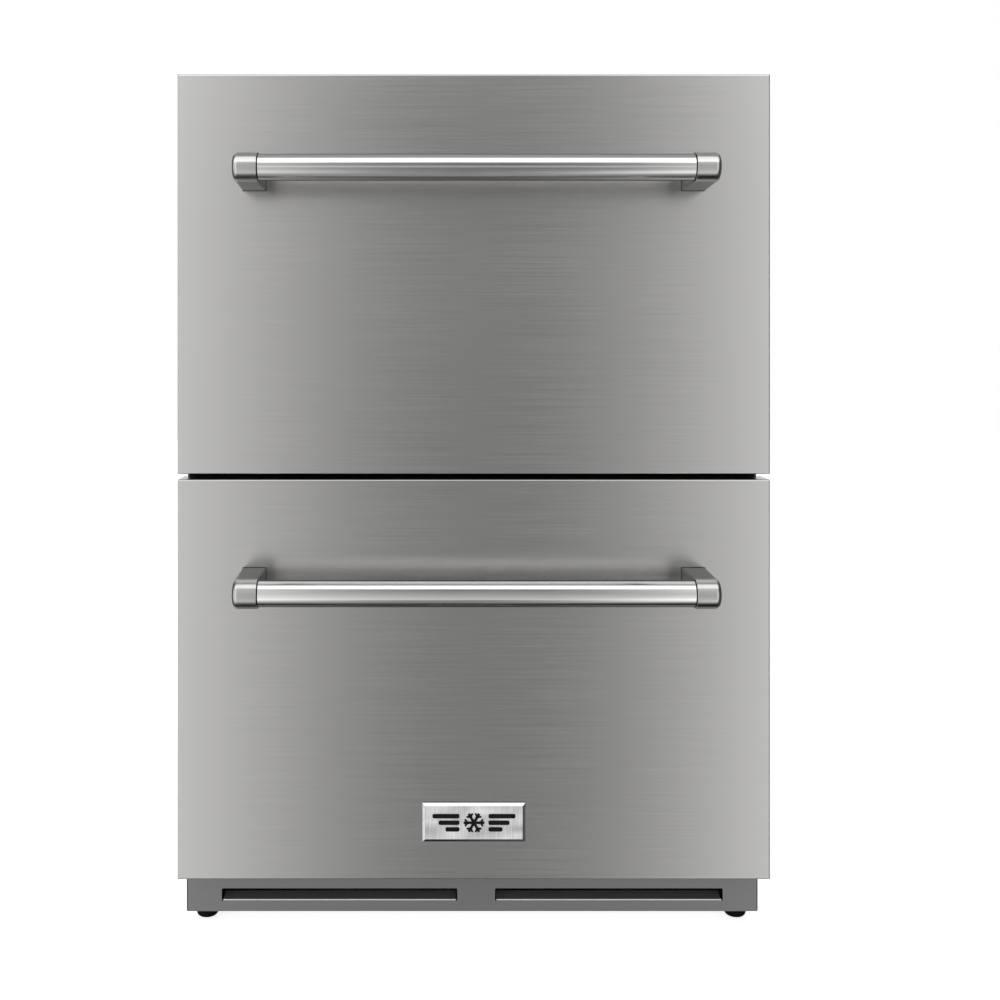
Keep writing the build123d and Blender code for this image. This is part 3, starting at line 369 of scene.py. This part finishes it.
def display_glass():
    """Near-black glass with faint smears."""
    paint = Paint("display_glass", (0.004, 0.004, 0.005), 0.08)
    smear = paint.noise((70, 70, 70), detail=4.0)
    paint.colour(smear, (0.003, 0.003, 0.004), (0.009, 0.009, 0.011))
    paint.roughen(smear, 0.05, 0.16)
    return paint.material


def glowing_digit():
    """A segment of the display, glowing unevenly from blue to pale blue."""
    paint = Paint("glowing_digit", (0.5, 0.75, 0.9), 0.4)
    grain = paint.noise((2500, 2500, 2500))
    glow = paint.ramp(grain, [(0.2, (0.25, 0.6, 0.9)), (0.8, (0.55, 0.85, 1.0))])
    paint.link(glow, paint.shader, "Emission Color")
    paint.set("Emission Strength", 2.5)
    return paint.material


def white_print():
    """The symbols' screen-printed white ink."""
    paint = Paint("white_print", (0.75, 0.76, 0.77), 0.5)
    grain = paint.noise((3000, 3000, 3000))
    paint.colour(grain, (0.68, 0.69, 0.7), (0.8, 0.81, 0.82))
    paint.roughen(grain, 0.42, 0.6)
    return paint.material


FRONT_STEEL = (0.6, 0.595, 0.585)
HANDLE_STEEL = (0.74, 0.735, 0.725)
# Painted shade: a darker copy of the handle's steel for the brackets.
BRACKET_STEEL_SHADED = (0.54, 0.537, 0.53)
# Painted highlight: the louvre lips' pale steel, much lighter than the kick, stands in for light
# caught along each bend.
LIP_HIGHLIGHT_STEEL = (0.9, 0.895, 0.89)
# Painted shade: the kick's steel is far darker than the fronts' steel, standing in for the shade
# under the drawers.
KICK_STEEL_SHADED = (0.19, 0.188, 0.186)
LINER_WHITE = (0.74, 0.75, 0.755)
PLASTIC_BLACK = (0.018, 0.018, 0.019)
RUBBER_BLACK = (0.022, 0.022, 0.021)
JET_BLACK = (0.003, 0.003, 0.003)
LOOKS = {
    "stainless_front": brushed_steel("stainless_front", FRONT_STEEL, 0.24),
    "stainless_handle": satin_steel("stainless_handle", HANDLE_STEEL, 0.15),
    # Painted shade: the brackets' steel is darker than the handle's.
    "bracket_steel_shaded": satin_steel("bracket_steel_shaded", BRACKET_STEEL_SHADED, 0.22, across=0.35, edge_shade=0.5),
    # Painted highlight: pale, partly diffuse steel for the bright line along the louvre lips.
    "lip_highlight_steel": brushed_steel("lip_highlight_steel", LIP_HIGHLIGHT_STEEL, 0.3, metallic=0.25),
    # Painted shade: a darkened copy of the steel for the kick.
    "kick_steel": brushed_steel("kick_steel", KICK_STEEL_SHADED, 0.32, metallic=0.35),
    "badge_metal": polished_chrome(),
    "badge_silver": badge_silver(),
    "black_inlay": black_inlay(),
    "casing": powder_coat(),
    "galvanised": galvanised(),
    "foam": foam(),
    "liner_white": moulded("liner_white", LINER_WHITE, 0.22, 700, 10 * MICRON, vary=0.02),
    "gasket_grey": gasket_vinyl(),
    "black_plastic": moulded("black_plastic", PLASTIC_BLACK, 0.42),
    "bin_plastic": clear_bin(),
    "zinc_steel": zinc_plate(),
    "black_enamel": enamel(),
    "copper": copper(),
    "fin_aluminium": fin_metal(),
    "lens": lamp_lens(),
    "rubber": moulded("rubber", RUBBER_BLACK, 0.62, 800, 30 * MICRON, vary=0.2),
    "jet_plastic": moulded("jet_plastic", JET_BLACK, 0.6, 900, vary=0.3, specular=0.08),
    "display_glass": display_glass(),
    "glowing_digit": glowing_digit(),
    "white_print": white_print(),
}


# ---------------------------------------------------------------- mesh helpers
def piece(name, mesh_data, body, look, smooth_angle=40):
    """Makes an object of a bmesh, gives it its look and lets it ride on a body."""
    mesh = bpy.data.meshes.new(name)
    bmesh.ops.recalc_face_normals(mesh_data, faces=mesh_data.faces)
    mesh_data.to_mesh(mesh)
    mesh_data.free()
    made = bpy.data.objects.new(name, mesh)
    bpy.context.scene.collection.objects.link(made)
    mesh.shade_smooth()
    mesh.set_sharp_from_angle(angle=math.radians(smooth_angle))
    mesh.materials.append(LOOKS[look])
    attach(made, body)


def rounded_bar(width, height, radius):
    """The outline, in the X-Z plane, of a rectangle with round corners, centred on the origin."""
    steps = 5
    points = []
    for corner, (sx, sz) in enumerate(((1, 1), (-1, 1), (-1, -1), (1, -1))):
        centre_x, centre_z = sx * (width / 2 - radius), sz * (height / 2 - radius)
        for step in range(steps + 1):
            angle = math.pi / 2 * (corner + step / steps)
            across, up = radius * math.cos(angle), radius * math.sin(angle)
            points.append(Vector((centre_x + across, 0.0, centre_z + up)))
    return points


def rectangle_loop(x, y, z):
    """The corners of an upright rectangle at depth y. x and z are pairs of limits."""
    return [(x[0], y, z[0]), (x[1], y, z[0]), (x[1], y, z[1]), (x[0], y, z[1])]


def join_loops(mesh_data, first, second):
    """Adds the faces between two closed loops of vertices."""
    count = len(first)
    for i in range(count):
        j = (i + 1) % count
        mesh_data.faces.new((first[i], first[j], second[j], second[i]))


def add_stack(mesh_data, loops):
    """Joins closed loops of points, each to the next, and closes both ends."""
    made = [[mesh_data.verts.new(point) for point in loop] for loop in loops]
    for first, second in zip(made, made[1:]):
        join_loops(mesh_data, first, second)
    mesh_data.faces.new(made[-1])
    mesh_data.faces.new(made[0][::-1])


def add_ring(mesh_data, loops):
    """Joins closed loops of points, each to the next and the last to the first."""
    made = [[mesh_data.verts.new(point) for point in loop] for loop in loops]
    for first, second in zip(made, made[1:] + made[:1]):
        join_loops(mesh_data, first, second)


def inset_outline(points, distance):
    """Moves each point of a closed outline towards its middle by about distance."""
    middle = sum(points, Vector()) / len(points)
    moved = []
    for p in points:
        away = p - middle
        reach = max(abs(away.x), abs(away.z), distance)
        moved.append(middle + away * (1 - distance / reach))
    return moved


def add_slab(mesh_data, points, matrix, thickness, edge):
    """Adds a flat shape that rises towards -Y by thickness, with its front edge bevelled."""
    inner = inset_outline(points, edge)
    loops = [
        [matrix @ p for p in points],
        [matrix @ (p + Vector((0, -(thickness - edge), 0))) for p in points],
        [matrix @ (p + Vector((0, -thickness, 0))) for p in inner],
    ]
    add_stack(mesh_data, loops)


def turned(x, y, z, degrees=0.0):
    """A place for a flat shape, turned in the X-Z plane."""
    return Matrix.Translation((x, y, z)) @ Matrix.Rotation(math.radians(degrees), 4, "Y")


# ---------------------------------------------------------------- CAD nodes
# Nodes whose finish differs a little from the rest of their material slot. The brackets' darker
# steel is painted shade.
SPECIAL_LOOKS = {
    "upper_handle_brackets": "bracket_steel_shaded",
    "lower_handle_brackets": "bracket_steel_shaded",
    # Painted shade: the mullion is jet black so that the gap between the fronts reads as shade.
    "front_mullion": "jet_plastic",
    "levelling_foot_front_left": "jet_plastic",
    "levelling_foot_front_right": "jet_plastic",
    "levelling_foot_rear_left": "jet_plastic",
    "levelling_foot_rear_right": "jet_plastic",
}


def dress_cad_nodes():
    """Gives each CAD node the look of its material slot, or its own."""
    for row in frame["record"]["subparts"]:
        node = nodes[row["node"]]
        look = SPECIAL_LOOKS.get(row["node"], row["material_slot"])
        node.data.materials.clear()
        node.data.materials.append(LOOKS[look])


dress_cad_nodes()


# ---------------------------------------------------------------- badge
FACE_T = 0.85 * MM
INLAY_RISE = 0.35 * MM
INLAY_EDGE = 0.1 * MM
# Small steps outwards, which keep the fronts of crossing strokes out of one plane.
ARM_STEP = 0.004 * MM
BARB_STEP = 0.03 * MM


def badge_frame(low, high):
    """The badge's chrome frame: four mitred strips that slope up to the face."""
    # the frame's section in mm: how far in from the plate's edge and how far out from the door
    section = ((0.0, 0.23), (0.0, 2.3), (2.7, 3.88), (2.7, 3.02), (2.2, 3.02))
    loops = []
    for inset, out in section:
        x = (low.x + inset * MM, high.x - inset * MM)
        z = (low.z + inset * MM, high.z - inset * MM)
        loops.append(rectangle_loop(x, FRONT_Y - out * MM, z))
    chrome = bmesh.new()
    add_ring(chrome, loops)
    piece("badge_frame", chrome, "lower_drawer", "badge_metal", smooth_angle=10)


def badge_face(low, high):
    """The brushed sheet inside the frame."""
    margin, corner, edge = 2.8 * MM, 0.5 * MM, 0.02 * MM
    shape = rounded_bar(high.x - low.x - 2 * margin, high.z - low.z - 2 * margin, corner)
    place = turned((low.x + high.x) / 2, low.y, (low.z + high.z) / 2)
    face = bmesh.new()
    add_slab(face, shape, place, FACE_T, edge)
    piece("badge_face", face, "lower_drawer", "badge_silver")


def snow_crystal(inlay, x, y, z):
    """Adds six arms, each with a barb on either side."""
    arm, arm_w, arm_corner = 10.4 * MM, 2.7 * MM, 0.5 * MM
    barb, barb_w, barb_corner = 4.8 * MM, 1.9 * MM, 0.6 * MM
    barb_reach = 1.9 * MM  # from the arm's axis to the middle of the barb
    barb_root, barb_turn = 0.62, 55  # share of the arm's length, degrees from the arm
    arm_shape = rounded_bar(arm, arm_w, arm_corner)
    barb_shape = rounded_bar(barb, barb_w, barb_corner)
    for i in range(6):
        turn = 60 * i
        out = i * ARM_STEP
        spoke = turned(x, y, z, turn) @ Matrix.Translation((arm / 2, -out, 0))
        add_slab(inlay, arm_shape, spoke, INLAY_RISE, INLAY_EDGE)
        for side in (-1, 1):
            branch = (
                turned(x, y, z, turn)
                @ Matrix.Translation((arm * barb_root, -BARB_STEP - out, 0))
                @ Matrix.Rotation(math.radians(side * barb_turn), 4, "Y")
                @ Matrix.Translation((barb_reach, 0, 0))
            )
            add_slab(inlay, barb_shape, branch, INLAY_RISE, INLAY_EDGE)


def side_bars(inlay, x, y, z):
    """Adds three bars on each side of the crystal, shorter from row to row."""
    lengths = (27 * MM, 21 * MM, 14 * MM)
    bar_h, corner = 4.4 * MM, 1.6 * MM
    pitch, start = 6.6 * MM, 14.5 * MM
    for side in (-1, 1):
        for row, length in enumerate(lengths):
            place = turned(x + side * (start + length / 2), y, z + pitch * (1 - row))
            add_slab(inlay, rounded_bar(length, bar_h, corner), place, INLAY_RISE, INLAY_EDGE)


def badge():
    """The badge's frame, face and black inlay."""
    low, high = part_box("badge_plate")
    badge_frame(low, high)
    badge_face(low, high)
    middle = ((low.x + high.x) / 2, low.y - FACE_T, (low.z + high.z) / 2)
    inlay = bmesh.new()
    snow_crystal(inlay, *middle)
    side_bars(inlay, *middle)
    piece("badge_inlay", inlay, "lower_drawer", "black_inlay")


badge()


# ---------------------------------------------------------------- kick
LOUVRES_X = ((-0.258, -0.0171), (0.0251, 0.258))  # the flaps' ends
LIP_Z = 0.02745  # height of the middle of the flaps' sloping lips


def louvre_lips():
    """The pressed edge of each louvre's flap: a narrow half-round bead, coloured bright as a painted
    highlight where the bend catches the light.
    """
    radius, behind, steps = 0.62 * MM, 0.5 * MM, 10
    start_turn, whole_turn = 45, 180  # degrees
    middle_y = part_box("kick_grille")[0].y + behind
    half_round = []
    for step in range(steps + 1):
        angle = math.radians(start_turn + whole_turn * step / steps)
        half_round.append((middle_y + radius * math.cos(angle), LIP_Z + radius * math.sin(angle)))
    beads = bmesh.new()
    for ends in LOUVRES_X:
        add_stack(beads, [[(x, y, z) for y, z in half_round] for x in ends])
    piece("louvre_lips", beads, "cabinet", "lip_highlight_steel")


louvre_lips()


def kick_end_shade():
    """Painted shade: a black strip that wraps round each end of the kick and runs back along its
    side, standing in for the dark edge there.
    """
    low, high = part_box("kick_grille")
    corner, sheet_t = 1.8 * MM, 0.1 * MM
    front_turn, side_turn, steps = 20, 90, 8  # degrees round the corner, from the front
    shade_strips = bmesh.new()
    for side in (-1, 1):
        centre_x, centre_y = side * (high.x - corner), low.y + corner
        faces = []
        for radius in (corner, corner + sheet_t):
            face = []
            for step in range(steps + 1):
                angle = math.radians(front_turn + (side_turn - front_turn) * step / steps)
                x = centre_x + side * radius * math.sin(angle)
                face.append((x, centre_y - radius * math.cos(angle)))
            face.append((face[-1][0], high.y))
            faces.append(face)
        section = faces[0] + faces[1][::-1]
        heights = (low.z + corner, high.z - corner)
        add_stack(shade_strips, [[(x, y, z) for x, y in section] for z in heights])
    piece("kick_end_shade", shade_strips, "cabinet", "jet_plastic")


kick_end_shade()


# ---------------------------------------------------------------- handle shade rings and seats, painted shade
BRACKET_W = 23.5 * MM  # along the handle


def handle_shade_rings(drawer):
    """Painted shadow: a thin black ring where the handle's tube goes into each bracket, standing in
    for the shadow in that joint.
    """
    low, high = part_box(f"{drawer}_handle_bar")
    inner_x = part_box(f"{drawer}_handle_brackets")[1].x - BRACKET_W
    middle = (low + high) / 2
    tube_r = (high.z - low.z) / 2
    width, rise, steps = 0.9 * MM, 0.25 * MM, 64
    slope = 0.2 * width
    # the ring's section: distance from the tube's axis, distance outwards past the bracket's face
    section = ((tube_r, -width), (tube_r + rise, slope - width), (tube_r + rise, 0.0), (tube_r, 0.0))
    shade_rings = bmesh.new()
    for side in (-1, 1):
        loops = []
        for radius, along in section:
            loop = []
            for step in range(steps):
                angle = math.tau * step / steps
                y = middle.y + radius * math.cos(angle)
                loop.append((side * (inner_x + along), y, middle.z + radius * math.sin(angle)))
            loops.append(loop)
        add_ring(shade_rings, loops)
    piece(f"{drawer}_handle_shade_rings", shade_rings, f"{drawer}_drawer", "jet_plastic")


for drawer in DRAWERS:
    handle_shade_rings(drawer)


def handle_foot_shade(drawer):
    """Painted shade: a thin black pad round the foot of each bracket, which shows as a dark line
    where the foot meets the door.
    """
    low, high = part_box(f"{drawer}_handle_brackets")
    inner_x = high.x - BRACKET_W
    edge, thickness, gap = 0.3 * MM, 0.35 * MM, 0.05 * MM
    back_y = FRONT_Y - gap
    front_y = back_y - thickness
    foot_shade_pads = bmesh.new()
    for side in (-1, 1):
        loops = []
        for grow, y in ((edge, front_y), (edge, back_y), (0.0, back_y), (0.0, front_y)):
            x = (side * (inner_x - grow), side * (high.x + grow))
            loops.append(rectangle_loop(x, y, (low.z - grow, high.z + grow)))
        add_ring(foot_shade_pads, loops)
    piece(f"{drawer}_handle_foot_shade", foot_shade_pads, f"{drawer}_drawer", "jet_plastic")


for drawer in DRAWERS:
    handle_foot_shade(drawer)


# ---------------------------------------------------------------- controls
DISPLAY_X = -35 * MM
GLASS_T = 0.7 * MM
BAR_MARK = (5.0 * MM, 0.9 * MM, 0.4 * MM)  # a minus sign: length, height, corner radius
# Strokes that are lit, in the order of digit_strokes().
LIT_STROKES = {"3": "1111001", "8": "1111111"}


def digit_strokes(width, height):
    """Centre and turn of each stroke, clockwise from the top, then the middle."""
    w, h = width / 2, height / 4
    flat, upright = 0, 90
    return [
        (0, 2 * h, flat),
        (w, h, upright),
        (w, -h, upright),
        (0, -2 * h, flat),
        (-w, -h, upright),
        (-w, h, upright),
        (0, 0, flat),
    ]


def display_pane(y, z):
    """The dark glass over the display."""
    width, height, corner, edge = 69.4 * MM, 19.4 * MM, 1.7 * MM, 0.2 * MM
    glass = bmesh.new()
    add_slab(glass, rounded_bar(width, height, corner), turned(DISPLAY_X, y, z), GLASS_T, edge)
    piece("display_glass", glass, "cabinet", "display_glass")


def display_digits(y, z):
    """Two glowing seven-segment digits: 38 degrees Fahrenheit."""
    width, height, pitch = 5.2 * MM, 10.4 * MM, 10 * MM
    rise, edge = 0.08 * MM, 0.03 * MM
    strokes = digit_strokes(width, height)
    stroke = rounded_bar(4.4 * MM, 1.0 * MM, 0.45 * MM)
    digits = bmesh.new()
    for place, digit in enumerate("38"):
        centre_x = DISPLAY_X + (place - 0.5) * pitch
        for lit, (dx, dz, turn) in zip(LIT_STROKES[digit], strokes):
            if lit == "1":
                add_slab(digits, stroke, turned(centre_x + dx, y, z + dz, turn), rise, edge)
    piece("display_digits", digits, "cabinet", "glowing_digit")


def power_mark(x, y, z):
    """A broken circle of short strokes with one bar through its gap."""
    radius, bar_x = 2.6 * MM, 2.2 * MM
    count = 14
    first_turn, whole_turn = -55, 290  # degrees
    dash = rounded_bar(1.3 * MM, 0.6 * MM, 0.25 * MM)
    bar = rounded_bar(2.6 * MM, 0.6 * MM, 0.28 * MM)
    places = []
    for i in range(count):
        turn = first_turn + whole_turn * i / (count - 1)
        places.append((dash, turned(x, y, z, turn) @ Matrix.Translation((0, 0, radius))))
    places.append((bar, turned(x - bar_x, y, z)))
    return places


def minus_mark(x, y, z):
    """One flat bar."""
    return [(rounded_bar(*BAR_MARK), turned(x, y, z))]


def plus_mark(x, y, z):
    """A flat bar and, just in front of it, an upright one."""
    step = 0.01 * MM
    return minus_mark(x, y, z) + [(rounded_bar(*BAR_MARK), turned(x, y - step, z, 90))]


def button_mark(name, mark, z):
    """The raised symbol on one button."""
    low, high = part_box(f"button_{name}")
    rise, edge = 0.15 * MM, 0.05 * MM
    marks = bmesh.new()
    for shape, place in mark((low.x + high.x) / 2, low.y, z):
        add_slab(marks, shape, place, rise, edge)
    piece(f"button_mark_{name}", marks, f"{name}_button", "white_print")


def controls():
    """The display's glass, its two glowing digits and the symbols on the buttons."""
    recess = 1.0 * MM
    glass_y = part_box("control_housing")[0].y + recess
    middle_z = sum(corner.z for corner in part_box("button_power")) / 2
    display_pane(glass_y, middle_z)
    display_digits(glass_y - GLASS_T, middle_z)
    for name, mark in (("power", power_mark), ("colder", minus_mark), ("warmer", plus_mark)):
        button_mark(name, mark, middle_z)


controls()


# ---------------------------------------------------------------- slide balls
def slide_balls(drawer):
    """The bearing balls in the races of a drawer's slides, held by the middle members."""
    low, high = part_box(f"{drawer}_rail_middles")
    outer_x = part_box(f"{drawer}_rail_outers")[1].x
    middle_z = (low.z + high.z) / 2
    radius, pitch, count, first = 0.9 * MM, 7.5 * MM, 22, 12 * MM
    # each race: height above or below the middle, distance in from the outer member's back
    races = ((20.0 * MM, 6.3 * MM), (16.5 * MM, 8.6 * MM))
    balls = bmesh.new()
    for side in (-1, 1):
        for half_height, inset in races:
            for up in (-1, 1):
                x, z = side * (outer_x - inset), middle_z + up * half_height
                for i in range(count):
                    place = Matrix.Translation((x, low.y + first + i * pitch, z))
                    bmesh.ops.create_icosphere(balls, subdivisions=2, radius=radius, matrix=place)
    piece(f"{drawer}_slide_balls", balls, f"{drawer}_slide_middles", "badge_metal")


for drawer in DRAWERS:
    slide_balls(drawer)


# ---------------------------------------------------------------- studio
# Brightness of the surroundings in reflections, by degrees to the right of the viewer. A dark gap
# stands just right of the viewer, with a bright flank on either side of it.
AROUND = (
    (-165, 0.9),
    (-145, 0.25),
    (-125, 0.1),
    (-92, 0.1),
    (-84, 0.9),
    (-50, 0.9),
    (-28, 1.37),
    (-16, 1.37),
    (-10, 0.8),
    (-5, 0.34),
    (-0.5, 0.17),
    (7.5, 0.17),
    (10.5, 0.28),
    (15, 0.82),
    (20, 1.46),
    (30, 1.46),
    (36, 0.9),
    (46, 0.1),
    (125, 0.1),
    (145, 0.25),
    (165, 0.9),
)
# Share of that brightness towards the ground. Heights run from -1, straight down, to 1, straight up.
BELOW = ((-1.0, 0.06), (-0.95, 0.1), (-0.88, 0.35), (-0.75, 1.0))
# Share of the even ceiling, by height.
ABOVE = ((0.6, 0.0), (0.82, 1.0))
CEILING = 0.45
# Brightness of the strips before each handle, from the top down.
UPPER_STRIPS = (0.28, 0.02, 0.04, 0.05, 0.16, 0.27, 0.22)
LOWER_STRIPS = (*(0.1 + 0.055 * i for i in range(8)), 0.02, 0.3, 0.16, 0.08)
WHITE = (1.0, 1.0, 1.0, 1.0)


class Sky(NodeTree):
    """The world under construction."""

    def __init__(self, name):
        world = bpy.data.worlds.new(name)
        bpy.context.scene.world = world
        super().__init__(world)
        self.tree.nodes.clear()

    def grey_ramp(self, value, stops):
        """Brightness through (position, brightness) stops."""
        return self.ramp(value, [(position, (bright, bright, bright)) for position, bright in stops])

    def mapped(self, value, low, high):
        """Maps low..high to 0..1."""
        made = self.node("ShaderNodeMapRange")
        made.inputs["From Min"].default_value = low
        made.inputs["From Max"].default_value = high
        self.link(value, made, "Value")
        return made.outputs["Result"]

    def blend(self, kind, factor, first, second):
        """Mixes two colours. Each value is a constant or a node's output."""
        made = self.node("ShaderNodeMix", data_type="RGBA", blend_type=kind)
        for name, value in (("Factor", factor), ("A", first), ("B", second)):
            socket = next(i for i in made.inputs if i.name == name and i.enabled)
            if isinstance(value, (float, tuple)):
                socket.default_value = value
            else:
                self.tree.links.new(value, socket)
        return next(o for o in made.outputs if o.enabled)

    def background(self):
        """A background shader of full strength."""
        made = self.node("ShaderNodeBackground")
        made.inputs["Color"].default_value = WHITE
        made.inputs["Strength"].default_value = 1.0
        return made

    def compass(self, direction):
        """The angle of a direction round the object, from the viewer's side, as -pi..pi."""
        towards = self.node("ShaderNodeMath", operation="MULTIPLY")
        self.link(direction.outputs["Y"], towards, 0)
        towards.inputs[1].default_value = -1.0
        angle = self.node("ShaderNodeMath", operation="ARCTAN2")
        self.link(direction.outputs["X"], angle, 0)
        self.link(towards.outputs["Value"], angle, 1)
        return angle.outputs["Value"]


def by_height(stops):
    """Turns stops at heights from -1 to 1 into ramp stops from 0 to 1."""
    return [((height + 1) / 2, share) for height, share in stops]


def studio_world():
    """White where the camera sees it. Reflections show uneven walls under an even ceiling."""
    sky = Sky("studio")
    coordinates = sky.node("ShaderNodeTexCoord")
    direction = sky.node("ShaderNodeSeparateXYZ")
    sky.link(coordinates.outputs["Generated"], direction, "Vector")
    turn = sky.mapped(sky.compass(direction), -math.pi, math.pi)
    height = sky.mapped(direction.outputs["Z"], -1.0, 1.0)
    sides = sky.grey_ramp(turn, [(0.5 + degrees / 360, bright) for degrees, bright in AROUND])
    lowered = sky.grey_ramp(height, by_height(BELOW))
    raised = sky.grey_ramp(height, by_height(ABOVE))
    walls = sky.blend("MULTIPLY", 1.0, sides, lowered)
    brightness = sky.blend("MIX", raised, walls, (CEILING, CEILING, CEILING, 1.0))
    surroundings = sky.background()
    sky.link(brightness, surroundings, "Color")
    backdrop = sky.background()
    path = sky.node("ShaderNodeLightPath")
    seen = sky.node("ShaderNodeMixShader")
    sky.link(path.outputs["Is Camera Ray"], seen, "Fac")
    sky.link(surroundings.outputs["Background"], seen, 1)
    sky.link(backdrop.outputs["Background"], seen, 2)
    output = sky.node("ShaderNodeOutputWorld")
    sky.link(seen.outputs["Shader"], output, "Surface")


def softbox(name, place, target, width, depth, brightness, only=()):
    """A rectangular light that faces a target. It lights only the objects in only, if any."""
    data = bpy.data.lights.new(name, "AREA")
    data.shape = "RECTANGLE"
    data.size = width
    data.size_y = depth
    data.energy = brightness * math.pi * width * depth
    made = bpy.data.objects.new(name, data)
    made.location = place
    made.rotation_euler = (Vector(target) - Vector(place)).to_track_quat("-Z", "Y").to_euler()
    bpy.context.scene.collection.objects.link(made)
    made.visible_camera = False
    if only:
        lit = bpy.data.collections.new(f"{name}_lights")
        for lit_object in only:
            lit.objects.link(lit_object)
        made.light_linking.receiver_collection = lit


def badge_strip():
    """A strip light high in front that lights only the badge's frame."""
    place, target = (0, -1.344, 1.041), (0, -0.27, 0.143)
    lit = (bpy.data.objects["badge_frame"],)
    softbox("badge_strip", place, target, width=1.0, depth=0.24, brightness=1.4, only=lit)


def handle_strips(drawer, top_elevation, step, brightness):
    """Strip lights before one handle, step degrees apart, that light only the handle's tube."""
    low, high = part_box(f"{drawer}_handle_bar")
    middle = (low + high) / 2
    away, width = 0.5, 1.4
    height = 2 * away * math.tan(math.radians(step / 2))
    lit = (nodes[f"{drawer}_handle_bar"],)
    for i, bright in enumerate(brightness):
        elevation = math.radians(top_elevation - i * step)
        place = middle + Vector((0, -away * math.cos(elevation), away * math.sin(elevation)))
        softbox(f"{drawer}_strip_{i}", place, middle, width, height, bright, lit)


def floor():
    """A pale floor, wide enough to run out of sight."""
    half_size, segments = 7.0, 24
    data = bmesh.new()
    bmesh.ops.create_grid(data, x_segments=segments, y_segments=segments, size=half_size)
    mesh = bpy.data.meshes.new("floor")
    data.to_mesh(mesh)
    data.free()
    made = bpy.data.objects.new("floor", mesh)
    bpy.context.scene.collection.objects.link(made)
    paint = Paint("floor", (0.8, 0.8, 0.8), 0.8)
    grain = paint.noise((4, 4, 4), detail=3.0)
    paint.colour(grain, (0.79, 0.79, 0.79), (0.81, 0.81, 0.81))
    paint.set("Specular IOR Level", 0.1)
    paint.set("Emission Color", WHITE)
    paint.set("Emission Strength", 0.8)
    mesh.materials.append(paint.material)
    made.visible_glossy = False


def camera():
    """A level camera a little left of the middle, with its frame shifted on to the object."""
    distance, left, height = 1.23, 0.049, 0.592
    frame_width_at_front = 1.0037
    sensor = 36.0
    data = bpy.data.cameras.new("camera")
    data.sensor_width = sensor
    data.lens = sensor * distance / frame_width_at_front
    data.shift_x = 0.075
    data.shift_y = -0.145
    made = bpy.data.objects.new("camera", data)
    made.location = (-left, FRONT_Y - distance, height)
    made.rotation_euler = (math.pi / 2, 0, 0)
    bpy.context.scene.collection.objects.link(made)
    bpy.context.scene.camera = made


def lights():
    """Large soft lights above and behind, and the strips for the handles and the badge."""
    place, target = (0, -0.855, 1.555), (0, -0.245, 0.755)
    softbox("top_softbox", place, target, width=2.6, depth=0.77, brightness=1.2)
    handle_strips("upper", top_elevation=-2, step=14, brightness=UPPER_STRIPS)
    handle_strips("lower", top_elevation=27, step=10, brightness=LOWER_STRIPS)
    badge_strip()
    place, target = (0, 1.8, 2.2), (0, 0.2, 0.4)
    softbox("rear_softbox", place, target, width=2.4, depth=1.2, brightness=1.2)


studio_world()
lights()
floor()
camera()
bpy.context.scene.view_settings.view_transform = "Standard"
